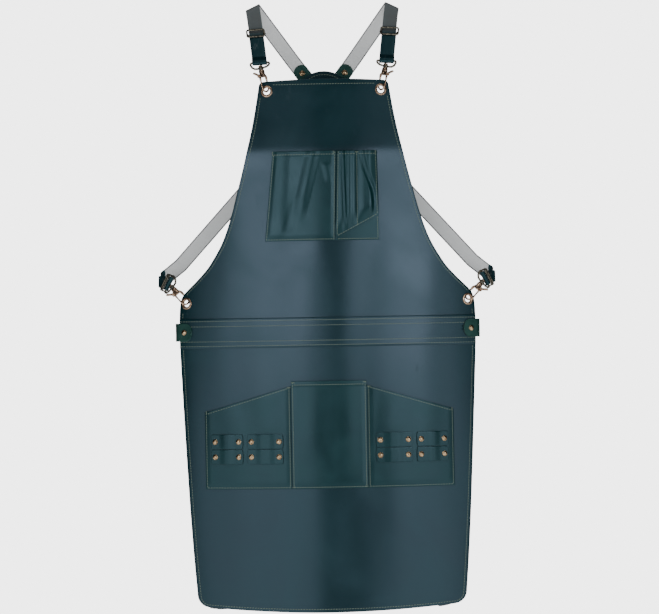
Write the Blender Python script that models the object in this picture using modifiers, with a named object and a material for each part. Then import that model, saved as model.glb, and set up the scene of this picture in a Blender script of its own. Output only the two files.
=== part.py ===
"""Leather bib apron with a cross-back strap harness, hanging by its folded shoulder straps.

Metres, +Z up, front towards -Y. The origin is midway between the two strap folds.
Heights are given from the middle of the hem, and depths outwards from the back of the leather,
which bends round an upright cylinder.
"""
import math

import bmesh
import bpy
from mathutils import Matrix, Vector

# The apron as a whole
FOLD_HEIGHT = 1.040          # hem to the top of the folded straps
BEND_RADIUS = 0.520          # the front bends round this radius
FRONT_Y = -0.050             # back of the leather at the middle of the front
LEATHER = 0.0020             # panel thickness
PATCH_LEATHER = 0.0018       # pockets, loops, band and tabs
GAP = 0.0005                 # between layers that touch on the real apron
LAYER_GAP = 0.0003           # between riveted layers, and under a rivet's head

# Panel outline: (height, half width)
BIB_EDGE = ((0.470, 0.2540), (0.518, 0.2535), (0.541, 0.2494), (0.551, 0.2423), (0.570, 0.2229),
            (0.596, 0.2004), (0.646, 0.1729), (0.734, 0.1459), (0.826, 0.1238), (0.912, 0.1104))
SKIRT_EDGE = ((0.0, 0.2290), (0.087, 0.2357), (0.190, 0.2418), (0.431, 0.2530), (0.470, 0.2540))
BIB_TOP_BOW = 0.003
HEM_BOW = 0.009
HEM_CORNER = 0.020

# Waistband, pockets and loops
BAND_LOW, BAND_HIGH, BAND_HALF = 0.454, 0.505, 0.2530
CHEST_LOW, CHEST_HIGH = 0.6355, 0.7886
CHEST_LEFT = (-0.104, -0.088)          # x at the bottom and at the top
CHEST_DIVIDER = (0.015, 0.019)
CHEST_RIGHT = (0.091, 0.0875)
PEN_LOW = (0.641, 0.677)               # height at its inner and outer edge
WAIST_POCKET_LOW = 0.212
CENTRE_POCKET_HALF, CENTRE_POCKET_HIGH = 0.0642, 0.396
SIDE_POCKET_IN, SIDE_POCKET_OUT = 0.0650, 0.2120
SIDE_POCKET_HIGH = (0.388, 0.344)      # height at its inner and outer edge
POCKET_ROOM = 0.0075                   # how far a pocket stands off the panel
POCKET_SIDE_BEND, POCKET_LOW_BEND = 0.016, 0.022   # over which it rises from its seams
EDGE_PULL = 0.064                      # how far its grid lines move towards its edges
LOOP_ARCH = 0.0068
LOOP_WIDTH = 0.0250
LOOP_ROWS = {"upper": 0.2935, "lower": 0.2675}
LOOP_RIVETS = {"inner": (0.0855, 0.1325), "outer": (0.1540, 0.1940)}
LOOP_END = 0.0070                      # strap beyond its rivet

# Brass
RIVET_HEAD, RIVET_RISE, RIVET_SHANK = 0.0048, 0.0022, 0.0014
RIVET_TAIL, LOOP_RIVET_TAIL = 0.0034, 0.0026       # radius of the rear button
HOLE_ROOM = 0.0004                     # round a rivet's shank
GROMMET_OUTER, GROMMET_HOLE, GROMMET_WALL = 0.0102, 0.0054, 0.0009
GROMMETS = {"bib": (0.0978, 0.8925), "waist": (0.2410, 0.5320)}
TAB_RIVET = (0.2440, 0.4820)
TAB_HEIGHT, TAB_INNER, TAB_OUTER = 0.031, 0.2310, 0.2560

# Harness
PATCH_HEIGHT, PATCH_RADIUS, PATCH_Y = 0.878, 0.053, 0.0500
STRAP_WIDTH, STRAP_THICK = 0.0250, 0.0020
STRAP_START, STRAP_TAB_RIVET = 0.050, 0.0617
STRAP_TAB = (0.034, 0.076)             # distances from the patch centre
SHOULDER_AIM = Vector((0.595, 0.0, 0.804))
WAIST_AIM = Vector((0.673, 0.0, -0.740))
CLIP_LENGTH = 0.050                    # grommet centre to the bar in the strap's end
BAR_LOOP = 0.0032                      # centre of the strap's leather round the bar
LAYER_STEP = 0.0024                    # between the two layers above the bar
SLIDER_AT = {"shoulder": 0.055, "waist": 0.0240}   # from the bar
WIRE_RADIUS = 0.0015
HOOK_RADIUS, HOOK_HALF = 0.0017, 0.0070
HOOK_TURN = math.radians(35)           # how far the hook turns from straight through the hole
GATE_PIVOT = 0.0276


def on_body(x, height, depth=0.0):
    """A point of the bent front, depth outwards from the back of the leather."""
    angle = math.asin(x / BEND_RADIUS)
    reach = BEND_RADIUS + depth
    return Vector((reach * math.sin(angle), FRONT_Y + BEND_RADIUS - reach * math.cos(angle),
                   height - FOLD_HEIGHT))


def facing(x):
    """The outward direction of the bent front at x."""
    angle = math.asin(x / BEND_RADIUS)
    return Vector((math.sin(angle), -math.cos(angle), 0.0))


def between(points, at):
    """Smooth value through (position, value) points, which rise in position."""
    span = 0
    while span < len(points) - 2 and at > points[span + 1][0]:
        span += 1
    before, after = max(span - 1, 0), min(span + 2, len(points) - 1)
    (p0, v0), (p1, v1), (p2, v2), (p3, v3) = (points[i] for i in (before, span, span + 1, after))
    width = p2 - p1
    t = min(max((at - p1) / width, 0.0), 1.0)
    slope1, slope2 = (v2 - v0) / (p2 - p0) * width, (v3 - v1) / (p3 - p1) * width
    return ((2 * t**3 - 3 * t**2 + 1) * v1 + (t**3 - 2 * t**2 + t) * slope1
            + (3 * t**2 - 2 * t**3) * v2 + (t**3 - t**2) * slope2)


def mix(low, high, share):
    return low + (high - low) * share


def plateau(distance, rise):
    """0 at a seam, 1 from rise onwards, smooth between."""
    share = min(max(distance / rise, 0.0), 1.0)
    return share * share * (3 - 2 * share)


# Scene, materials and mesh helpers

def start_scene():
    for item in list(bpy.data.objects):
        bpy.data.objects.remove(item, do_unlink=True)
    parts = bpy.data.collections.new("leather_apron")
    cutters = bpy.data.collections.new("cutters")
    for collection in (parts, cutters):
        bpy.context.scene.collection.children.link(collection)
    return parts, cutters


FINISHES = {                 # colour, roughness, metallic
    "leather_dark": ((0.010, 0.045, 0.055, 1), 0.32, 0.0),
    "leather_strap": ((0.035, 0.040, 0.042, 1), 0.40, 0.0),
    "leather_tab": ((0.030, 0.075, 0.055, 1), 0.45, 0.0),
    "brass": ((0.36, 0.27, 0.17, 1), 0.30, 1.0),
}


def finish(name):
    if name in bpy.data.materials:
        return bpy.data.materials[name]
    material = bpy.data.materials.new(name)
    material.use_nodes = True
    shader = material.node_tree.nodes["Principled BSDF"]
    colour, roughness, metallic = FINISHES[name]
    shader.inputs["Base Color"].default_value = colour
    shader.inputs["Roughness"].default_value = roughness
    shader.inputs["Metallic"].default_value = metallic
    return material


def add_part(name, mesh, material):
    part = bpy.data.objects.new(name, mesh)
    PARTS.objects.link(part)
    mesh.materials.clear()
    mesh.materials.append(finish(material))
    return part


def bake(part):
    """Applies the modifiers and the placing of a part to its mesh."""
    bpy.context.view_layer.update()
    graph = bpy.context.evaluated_depsgraph_get()
    mesh = bpy.data.meshes.new_from_object(part.evaluated_get(graph))
    mesh.transform(part.matrix_world)
    if part.matrix_world.determinant() < 0:
        mesh.flip_normals()
    shape = bmesh.new()
    shape.from_mesh(mesh)
    bmesh.ops.remove_doubles(shape, verts=shape.verts, dist=0.000002)
    shape.to_mesh(mesh)
    shape.free()
    baked = bpy.data.objects.new(part.name + "_baked", mesh)
    PARTS.objects.link(baked)
    name = part.name
    bpy.data.objects.remove(part, do_unlink=True)
    baked.name = name
    return baked


def combine(part, others, operation):
    """Joins other solids to a part, or cuts them out of it."""
    for other in others:
        PARTS.objects.unlink(other)
        CUTTERS.objects.link(other)
        other.hide_render = True
        other.display_type = "WIRE"
        step = part.modifiers.new("combine", "BOOLEAN")
        step.operation = operation
        step.solver = "EXACT"
        step.object = other
    part = bake(part)
    for other in others:
        bpy.data.objects.remove(other, do_unlink=True)
    return part


def sheet(name, point, columns, rows, thick, material, offset=-1.0, side=1):
    """A closed sheet: point(u, v) places a grid, and Solidify gives it its thickness.

    A mirrored sheet, with side -1, runs its u backwards so that it still faces the front.
    """
    shape = bmesh.new()
    bmesh.ops.create_grid(shape, x_segments=columns, y_segments=rows, size=0.5)
    for vertex in shape.verts:
        vertex.co = point(0.5 + side * vertex.co.x, vertex.co.y + 0.5)
    mesh = bpy.data.meshes.new(name)
    shape.to_mesh(mesh)
    shape.free()
    part = add_part(name, mesh, material)
    solid = part.modifiers.new("thickness", "SOLIDIFY")
    solid.thickness = thick
    solid.offset = offset
    solid.use_even_offset = True
    part = bake(part)
    face_out(part)
    return part


def face_out(part):
    shape = bmesh.new()
    shape.from_mesh(part.data)
    bmesh.ops.recalc_face_normals(shape, faces=shape.faces)
    shape.to_mesh(part.data)
    shape.free()


def frame_at(origin, axis, side):
    """A placing whose Z runs along axis and whose X is as close as can be to side."""
    up = axis.normalized()
    across = (side - up * side.dot(up)).normalized()
    turn = Matrix((across, up.cross(across), up)).transposed().to_4x4()
    return Matrix.Translation(origin) @ turn


def cylinder(name, radius, low, high, place, material="brass", sides=12):
    shape = bmesh.new()
    bmesh.ops.create_cone(shape, cap_ends=True, segments=sides, radius1=radius, radius2=radius,
                          depth=high - low,
                          matrix=place @ Matrix.Translation((0, 0, (low + high) / 2)))
    mesh = bpy.data.meshes.new(name)
    shape.to_mesh(mesh)
    shape.free()
    return add_part(name, mesh, material)


def box(name, low, high, place, material="brass"):
    size = Vector(high) - Vector(low)
    middle = (Vector(high) + Vector(low)) / 2
    shape = bmesh.new()
    bmesh.ops.create_cube(shape, size=1.0,
                          matrix=place @ Matrix.Translation(middle) @ Matrix.Diagonal((*size, 1)))
    mesh = bpy.data.meshes.new(name)
    shape.to_mesh(mesh)
    shape.free()
    return add_part(name, mesh, material)


def turned(name, profile, place, material="brass", steps=12, ring=False):
    """A turned solid: (radius, height) points down the outer side, closed when ring is set."""
    shape = bmesh.new()
    corners = [shape.verts.new((radius, 0, height)) for radius, height in profile]
    last = len(corners) if ring else len(corners) - 1
    for index in range(last):
        shape.edges.new((corners[index], corners[(index + 1) % len(corners)]))
    mesh = bpy.data.meshes.new(name)
    shape.to_mesh(mesh)
    shape.free()
    part = add_part(name, mesh, material)
    part.matrix_world = place
    screw = part.modifiers.new("turn", "SCREW")
    screw.axis = "Z"
    screw.steps = screw.render_steps = steps
    screw.use_merge_vertices = True
    screw.merge_threshold = 0.00001
    part = bake(part)
    face_out(part)
    return part


def wire(name, points, radius, material="brass", closed=False):
    curve = bpy.data.curves.new(name, "CURVE")
    curve.dimensions = "3D"
    curve.bevel_depth = radius
    curve.bevel_resolution = 2
    curve.use_fill_caps = True
    run = curve.splines.new("POLY")
    run.points.add(len(points) - 1)
    for knot, point in zip(run.points, points):
        knot.co = (*point, 1)
    run.use_cyclic_u = closed
    part = bpy.data.objects.new(name, curve)
    PARTS.objects.link(part)
    part = bake(part)
    part.data.materials.clear()
    part.data.materials.append(finish(material))
    face_out(part)
    return part


def set_origin(part, point):
    part.data.transform(Matrix.Translation(-point))
    part.location = point


# Leather panels, pockets and loops

def make_bib():
    top = BIB_EDGE[-1][0]

    def point(u, v):
        height = mix(BIB_EDGE[0][0] + GAP, top, v ** 1.15)
        x = (2 * u - 1) * between(BIB_EDGE, height)
        bow = BIB_TOP_BOW * (2 * u - 1) ** 2 * plateau(height - top + 0.08, 0.08)
        return on_body(x, height - bow, LEATHER)

    bib = sheet("bib_panel", point, 20, 13, LEATHER, "leather_dark")
    return combine(bib, bib_holes("bib"), "DIFFERENCE")


def make_skirt():
    top = SKIRT_EDGE[-1][0]
    rows, corner_rows = 11, 3

    def height_of_row(v):
        row = v * rows
        if row <= corner_rows:
            return HEM_CORNER * (1 - math.cos(row * math.pi / (2 * corner_rows)))
        return mix(HEM_CORNER, top, (row - corner_rows) / (rows - corner_rows))

    def point(u, v):
        height = height_of_row(v)
        half = between(SKIRT_EDGE, height)
        if height < HEM_CORNER:
            half -= HEM_CORNER - math.sqrt(HEM_CORNER**2 - (HEM_CORNER - height) ** 2)
        share = 2 * u - 1
        return on_body(share * half, height + HEM_BOW * share**2 * (1 - height / top), LEATHER)

    return sheet("skirt_panel", point, 20, rows, LEATHER, "leather_dark")


def make_waistband():
    low = LEATHER + GAP

    def point(u, v):
        height = mix(BAND_LOW, BAND_HIGH, v)
        return on_body((2 * u - 1) * BAND_HALF, height, low + PATCH_LEATHER)

    band = sheet("waistband", point, 20, 2, PATCH_LEATHER, "leather_dark")
    return combine(band, bib_holes("band"), "DIFFERENCE")


def bib_holes(layer):
    """Cutters for the eyelets and tab rivets that pass through a layer of the bib."""
    holes = []
    for side in (-1, 1):
        spots = [(TAB_RIVET, RIVET_SHANK + HOLE_ROOM, 12)]
        if layer == "bib":
            spots += [(spot, GROMMET_HOLE + 0.0013, 20) for spot in GROMMETS.values()]
        for (x, height), radius, sides in spots:
            place = frame_at(on_body(side * x, height), facing(side * x), Vector((0, 0, 1)))
            holes.append(cylinder("hole", radius, -0.02, 0.02, place, "brass", sides))
    return holes


def pocket_depth(x, height, left, right, low, room=POCKET_ROOM):
    """Depth of a pocket's front face: on the panel at its seams, standing off between them."""
    seam = min(plateau(x - left, POCKET_SIDE_BEND), plateau(right - x, POCKET_SIDE_BEND),
               plateau(height - low, POCKET_LOW_BEND))
    return LEATHER + GAP + PATCH_LEATHER + room * seam


def spread(share):
    """Moves the inner grid lines towards both edges, where a pocket bends."""
    return share - EDGE_PULL * math.sin(2 * math.pi * share)


def make_chest_pocket():
    def point(u, v):
        height = mix(CHEST_LOW, CHEST_HIGH, v ** 1.4)
        share = (height - CHEST_LOW) / (CHEST_HIGH - CHEST_LOW)
        left, right = mix(*CHEST_LEFT, share), mix(*CHEST_DIVIDER, share)
        x = mix(left, right, spread(u))
        return on_body(x, height, pocket_depth(x, height, left, right, CHEST_LOW))

    return sheet("chest_pocket", point, 14, 7, PATCH_LEATHER, "leather_dark")


def make_pen_pocket():
    base = LEATHER + GAP + PATCH_LEATHER

    def backing(u, v):
        height = mix(CHEST_LOW, CHEST_HIGH, v)
        share = (height - CHEST_LOW) / (CHEST_HIGH - CHEST_LOW)
        left, right = mix(*CHEST_DIVIDER, share) + GAP, mix(*CHEST_RIGHT, share)
        return on_body(mix(left, right, u), height, base)

    def front(u, v):
        height = mix(mix(*PEN_LOW, u), CHEST_HIGH - 0.0005, v ** 1.4)
        share = (height - CHEST_LOW) / (CHEST_HIGH - CHEST_LOW)
        left, right = mix(*CHEST_DIVIDER, share) + 0.002, mix(*CHEST_RIGHT, share) - 0.002
        arch = abs(math.sin(2 * math.pi * u)) ** 1.2 * plateau(v, 0.2)
        depth = base + GAP + PATCH_LEATHER + (POCKET_ROOM + 0.001) * arch
        return on_body(mix(left, right, u), height, depth)

    sheet("pen_pocket_backing", backing, 4, 2, PATCH_LEATHER, "leather_dark")
    return sheet("pen_pocket", front, 16, 6, PATCH_LEATHER, "leather_dark")


def make_centre_pocket():
    half = CENTRE_POCKET_HALF

    def point(u, v):
        height = mix(WAIST_POCKET_LOW, CENTRE_POCKET_HIGH, v ** 1.4)
        x = mix(-half, half, spread(u))
        return on_body(x, height, pocket_depth(x, height, -half, half, WAIST_POCKET_LOW))

    return sheet("waist_pocket_center", point, 14, 7, PATCH_LEATHER, "leather_dark")


def side_pocket_depth(x, height):
    return pocket_depth(abs(x), height, SIDE_POCKET_IN, SIDE_POCKET_OUT, WAIST_POCKET_LOW)


def make_side_pocket(name, side):
    def point(u, v):
        x = mix(SIDE_POCKET_IN, SIDE_POCKET_OUT, spread(u))
        high = mix(*SIDE_POCKET_HIGH, (x - SIDE_POCKET_IN) / (SIDE_POCKET_OUT - SIDE_POCKET_IN))
        height = mix(WAIST_POCKET_LOW, high, v ** 1.4)
        return on_body(side * x, height, side_pocket_depth(x, height))

    pocket = sheet("waist_pocket_" + name, point, 16, 7, PATCH_LEATHER, "leather_dark", side=side)
    return combine(pocket, loop_holes(side, LOOP_RIVETS.keys(), LOOP_ROWS.keys()), "DIFFERENCE")


def loop_spots(side, columns, rows):
    return [(side * x, LOOP_ROWS[row]) for row in rows for column in columns
            for x in LOOP_RIVETS[column]]


def loop_place(x, height):
    depth = side_pocket_depth(x, height) + GAP + PATCH_LEATHER
    return frame_at(on_body(x, height, depth), facing(x), Vector((0, 0, 1)))


def loop_holes(side, columns, rows):
    return [cylinder("hole", RIVET_SHANK + HOLE_ROOM, -0.006, 0.006, loop_place(x, height), sides=8)
            for x, height in loop_spots(side, columns, rows)]


def make_loop(name, side, row, column):
    first, last = LOOP_RIVETS[column]

    def point(u, v):
        x = mix(first - LOOP_END, last + LOOP_END, u)
        height = LOOP_ROWS[row] + (v - 0.5) * LOOP_WIDTH
        inner, outer = first + 0.0055, last - 0.0055
        rise = min(plateau(x - inner, 0.011), plateau(outer - x, 0.011))
        depth = side_pocket_depth(x, height) + GAP + PATCH_LEATHER + LOOP_ARCH * rise
        return on_body(side * x, height, depth)

    loop = sheet(f"tool_loop_{name}_{row}_{column}", point, 16, 1, PATCH_LEATHER, "leather_dark",
                 side=side)
    return combine(loop, loop_holes(side, (column,), (row,)), "DIFFERENCE")


def rivet(name, place, length, tail):
    """A domed rivet whose head sits at the placing's origin and whose shank runs back."""
    head, rise, shank = RIVET_HEAD, RIVET_RISE, RIVET_SHANK
    profile = ((0, rise), (head * 0.6, rise * 0.8), (head, 0), (shank, 0), (shank, -length),
               (tail, -length), (tail, -length - 0.0006), (0, -length - 0.0006))
    return turned(name, profile, place, steps=8)


def make_loop_rivets(name, side, row):
    """The four rivets of one row of loops, held by one backing strip inside the pocket."""
    length = 2 * PATCH_LEATHER + GAP + 0.0006
    rivets = []
    for x, height in loop_spots(side, LOOP_RIVETS.keys(), (row,)):
        place = loop_place(x, height) @ Matrix.Translation((0, 0, LAYER_GAP))
        rivets.append(rivet("rivet", place, length + LAYER_GAP, LOOP_RIVET_TAIL))

    def point(u, v):
        x = mix(LOOP_RIVETS["inner"][0] - 0.004, LOOP_RIVETS["outer"][1] + 0.004, u)
        height = LOOP_ROWS[row] + (v - 0.5) * 0.007
        return on_body(side * x, height, side_pocket_depth(x, height) - PATCH_LEATHER - 0.0006)

    strip = sheet(f"loop_rivets_{name}_{row}", point, 8, 1, 0.0008, "brass", side=side)
    return combine(strip, rivets, "UNION")


def make_grommet(name, side, spot):
    x, height = spot
    inner, outer, wall = GROMMET_HOLE, GROMMET_OUTER, GROMMET_WALL
    front, back = LEATHER + 0.0005, -0.0005
    profile = ((inner + 0.0008, front + wall), (outer - 0.0016, front + wall), (outer, front),
               (inner + wall, front), (inner + wall, back), (outer - 0.001, back),
               (inner + 0.0006, back - wall * 0.8), (inner, back), (inner, front))
    place = frame_at(on_body(side * x, height), facing(side * x), Vector((0, 0, 1)))
    return turned(name, profile, place, steps=16, ring=True)


# Strap routes

def rounded(corners, turn=math.radians(22)):
    """Samples (point, width direction) along straight runs joined by arcs.

    Each corner is (point, width direction, arc radius); the ends have radius 0.
    """
    samples = [(corners[0][0], corners[0][1])]
    for before, corner, after in zip(corners, corners[1:], corners[2:]):
        point, width, radius = corner
        came, goes = (point - before[0]).normalized(), (after[0] - point).normalized()
        angle = came.angle(goes)
        reach = radius * math.tan(angle / 2)
        start = point - came * reach
        centre = start + (goes - came * goes.dot(came)).normalized() * radius
        axis = came.cross(goes).normalized()
        steps = max(1, round(angle / turn))
        for step in range(steps + 1):
            spin = Matrix.Rotation(angle * step / steps, 3, axis)
            samples.append((centre + spin @ (start - centre), width))
    samples.append((corners[-1][0], corners[-1][1]))
    return samples


def ribbon(name, samples, width, thick, material, pitch=0.03):
    """A strap along the samples, always as wide as its leather."""
    rings = []
    for (point, across), (target, turned_across) in zip(samples, samples[1:]):
        pieces = max(1, round((target - point).length / pitch))
        for piece in range(pieces):
            share = piece / pieces
            rings.append((point.lerp(target, share), across.lerp(turned_across, share).normalized()))
    rings.append(samples[-1])
    rows = len(rings) - 1

    def place(u, v):
        row = round(v * rows)
        point, across = rings[row]
        along = rings[min(row + 1, rows)][0] - rings[max(row - 1, 0)][0]
        slant = along.normalized().cross(across.normalized()).length
        return point + across.normalized() * width / slant * (u - 0.5)

    return sheet(name, place, 1, rows, thick, material, offset=0.0)


def mirrored(vector, side):
    return Vector((vector.x * side, vector.y, vector.z))


class Clip:
    """Where one strap end, its bar, hook and grommet lie, on the side x > 0."""

    def __init__(self, name, aim, bar_turn, run_from):
        x, height = GROMMETS[name]
        self.name = name
        self.grommet = on_body(x, height, LEATHER / 2)
        self.out = facing(x)
        level = Vector((-self.out.y, self.out.x, 0.0))
        self.up = (level * math.sin(aim) + Vector((0, 0, 1)) * math.cos(aim)).normalized()
        self.side = self.up.cross(self.out).normalized()
        if self.side.x < 0:
            self.side = -self.side
        self.bar = self.grommet + self.up * CLIP_LENGTH
        self.bar_axis = Matrix.Rotation(bar_turn, 3, self.out) @ self.side
        run = run_from - self.bar
        self.face = self.bar_axis.cross(run).normalized()
        if self.face.dot(self.out) < 0:
            self.face = -self.face
        self.run = run.normalized()

    def line(self, along, lift=0.0):
        """A point of the strap's main layer, which passes behind the bar."""
        return self.bar - self.face * BAR_LOOP + self.run * along + self.face * lift


def strap_end(clip, end):
    """Corners from the main layer, round the bar and back up in front."""
    axis, beyond = clip.bar_axis, -BAR_LOOP
    turn = BAR_LOOP * 0.96
    return [(clip.line(beyond), axis, turn), (clip.line(beyond, 2 * BAR_LOOP), axis, turn),
            (clip.line(0.003, 2 * BAR_LOOP), axis, 0.006),
            (clip.line(0.011, LAYER_STEP), axis, 0.008), (clip.line(end, LAYER_STEP), axis, 0.0)]


def harness_point(aim, distance, y=PATCH_Y):
    return Vector((0, y, PATCH_HEIGHT - FOLD_HEIGHT)) + aim * distance


FOLD = Vector((0.1200, 0.0, 0.0))
FOLD_WIDTH = Vector((0.900, 0.0, -0.430))
FOLD_HALF = 0.0045


def shoulder_route(clip):
    flat = Vector((SHOULDER_AIM.z, 0.0, -SHOULDER_AIM.x))
    top = -STRAP_THICK / 2
    back, front = FOLD + Vector((-0.001, FOLD_HALF, top)), FOLD + Vector((0, -FOLD_HALF, top))
    corners = [(harness_point(SHOULDER_AIM, STRAP_START), flat, 0.0),
               (harness_point(SHOULDER_AIM, 0.090), flat, 0.040),
               (back, FOLD_WIDTH, FOLD_HALF * 0.8), (front, FOLD_WIDTH, FOLD_HALF * 0.8),
               (clip.line(0.082), clip.bar_axis, 0.050)]
    return rounded(corners + strap_end(clip, 0.050))


WAIST_TURN = ((Vector((0.2540, 0.0790, -0.4410)), Vector((0.740, 0.0, 0.673)), 0.020),
              (Vector((0.2895, 0.0870, -0.4690)), Vector((0.300, 0.1, 0.950)), 0.0090))
WAIST_RUN = Vector((0.2840, 0.0690, -0.4690))     # where the strap turns forwards to its end


def waist_route(clip):
    flat = Vector((0.740, 0.0, 0.673))
    corners = [(harness_point(WAIST_AIM, STRAP_START), flat, 0.0),
               (harness_point(WAIST_AIM, 0.090), flat, 0.040), *WAIST_TURN,
               (clip.line(0.037), clip.bar_axis, 0.020)]
    return rounded(corners + strap_end(clip, 0.030))


def make_strap(name, clip, route, side):
    samples = [(mirrored(point, side), mirrored(width, side)) for point, width in route(clip)]
    strap = ribbon(name, samples, STRAP_WIDTH, STRAP_THICK, "leather_strap")
    aim = SHOULDER_AIM if clip.name == "bib" else WAIST_AIM
    return combine(strap, [tab_hole(aim, side)], "DIFFERENCE")


# Back patch and strap tabs

def tab_place(aim, side, y=PATCH_Y):
    spot = mirrored(harness_point(aim, STRAP_TAB_RIVET, y), side)
    return frame_at(spot, Vector((0, -1, 0)), Vector((0, 0, 1)))


def tab_hole(aim, side):
    return cylinder("hole", RIVET_SHANK + HOLE_ROOM, -0.01, 0.01, tab_place(aim, side))


def make_strap_tab(name, aim, side):
    """The leather tongue of the patch that the strap's end is riveted to."""
    way = mirrored(aim, side)
    flat = Vector((way.z, 0.0, -way.x))
    lift = Vector((0, -(STRAP_THICK / 2 + LAYER_GAP + PATCH_LEATHER / 2), 0))
    ends = [harness_point(way, distance) + lift for distance in STRAP_TAB]
    tab = ribbon("strap_tab_" + name, [(end, flat) for end in ends], STRAP_WIDTH + 0.001,
                 PATCH_LEATHER, "leather_tab")
    combine(tab, [tab_hole(aim, side)], "DIFFERENCE")
    head = STRAP_THICK / 2 + PATCH_LEATHER + 2 * LAYER_GAP
    place = tab_place(aim, side) @ Matrix.Translation((0, 0, head))
    return rivet("strap_rivet_" + name, place, head + STRAP_THICK / 2 + LAYER_GAP, RIVET_TAIL)


def make_patch():
    """Two round leathers with the four tongues and strap ends between them."""
    place = frame_at(harness_point(WAIST_AIM, 0.0), Vector((0, -1, 0)), Vector((0, 0, 1)))
    inner = STRAP_THICK / 2 + PATCH_LEATHER + 2 * LAYER_GAP
    outer = -(STRAP_THICK / 2 + LAYER_GAP + LEATHER)
    for name, low in (("back_patch_inner", inner), ("back_patch_outer", outer)):
        cylinder(name, PATCH_RADIUS, low, low + LEATHER, place, "leather_dark", sides=40)


def make_side_tab(name, side):
    """A leather loop folded round the end of the waistband."""
    up = Vector((0, 0, 1))
    x, height = TAB_RIVET
    front = LEATHER + GAP + PATCH_LEATHER + GAP + PATCH_LEATHER / 2
    back = -GAP - PATCH_LEATHER / 2
    corners = [(on_body(TAB_INNER, height, front), up, 0.0),
               (on_body(x, height, front), up, 0.05),
               (on_body(TAB_OUTER, height, front + 0.0004), up, 0.010),
               (on_body(TAB_OUTER + 0.0065, height, (front + back) / 2), up, 0.0024),
               (on_body(TAB_OUTER, height, back - 0.0004), up, 0.010),
               (on_body(x, height, back), up, 0.05),
               (on_body(TAB_INNER, height, back), up, 0.0)]
    samples = [(mirrored(point, side), width) for point, width in rounded(corners)]
    tab = ribbon("side_tab_" + name, samples, TAB_HEIGHT, PATCH_LEATHER, "leather_tab")
    place = frame_at(on_body(side * x, height), facing(side * x), up)
    combine(tab, [cylinder("hole", RIVET_SHANK + HOLE_ROOM, -0.02, 0.02, place)], "DIFFERENCE")
    head = front + PATCH_LEATHER / 2 + LAYER_GAP
    place = place @ Matrix.Translation((0, 0, head))
    rivet("tab_rivet_" + name, place, head - back + PATCH_LEATHER / 2 + LAYER_GAP, RIVET_TAIL)


# Sliders, D-loops, hooks and gates

def clip_frame(clip, side, origin, axis, across):
    """A placing on the strap or hook, mirrored to the side."""
    return frame_at(mirrored(origin, side), mirrored(axis, side), mirrored(across, side))


def placed(frame, points):
    return [frame @ Vector(point) for point in points]


def make_slider(name, clip, side, along):
    """A frame in front of the strap, with its middle bar cranked behind it."""
    slant = clip.run.cross(clip.bar_axis).length
    half = STRAP_WIDTH / 2 / slant + 0.0010 + WIRE_RADIUS
    frame = clip_frame(clip, side, clip.line(along), clip.face, clip.bar_axis)
    run = (frame.inverted().to_3x3() @ mirrored(clip.run, side)).normalized()
    front = LAYER_STEP + STRAP_THICK / 2 + GAP + WIRE_RADIUS
    back = -(STRAP_THICK / 2 + GAP + WIRE_RADIUS)
    reach, bend = 0.0062, 0.0016

    def at(across, forward, lift):
        return (across + run.x * forward, run.y * forward, lift)

    outline = [(half - bend, reach), (half, reach - bend), (half, bend - reach),
               (half - bend, -reach), (bend - half, -reach), (-half, bend - reach),
               (-half, reach - bend), (bend - half, reach)]
    rim = wire(name, placed(frame, [at(a, f, front) for a, f in outline]), WIRE_RADIUS,
               closed=True)
    crank = [(half, front), (half, back + bend), (half - bend, back),
             (bend - half, back), (-half, back + bend), (-half, front)]
    bar = wire("bar", placed(frame, [at(a, 0.0, lift) for a, lift in crank]),
               WIRE_RADIUS * 0.92)
    slider = combine(rim, [bar], "UNION")
    set_origin(slider, frame.translation)


def make_d_loop(name, clip, side):
    frame = clip_frame(clip, side, clip.bar, clip.up, clip.side)
    tilt = frame.inverted().to_3x3() @ mirrored(clip.bar_axis, side)
    low = -0.0095
    half = [(0.0148, 0.0), (0.0162, -0.0010), (0.0165, -0.0028), (0.0146, -0.0062),
            (0.0104, -0.0088), (0.0050, low)]

    def at(across, down):
        share = down / low
        level = Vector((across * (1 if tilt.x > 0 else -1), 0, 0)).lerp(tilt * across, 1 - share)
        return level + Vector((0, 0, down))

    outline = [at(a, d) for a, d in half] + [at(-a, d) for a, d in reversed(half)]
    rim = wire(name, placed(frame, outline), WIRE_RADIUS, closed=True)
    boss = cylinder("boss", 0.0038, low - 0.0024, low + 0.0024, frame)
    loop = combine(rim, [boss], "UNION")
    loop = combine(loop, [cylinder("bore", 0.0022, -0.02, -0.003, frame)], "DIFFERENCE")
    set_origin(loop, frame.translation)


def hook_frame(clip, side):
    """X towards the gate, Z up the hook, from the middle of the grommet's hole."""
    gate_way = clip.out * math.cos(HOOK_TURN) + clip.side * math.sin(HOOK_TURN)
    return clip_frame(clip, side, clip.grommet, clip.up, gate_way)


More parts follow.
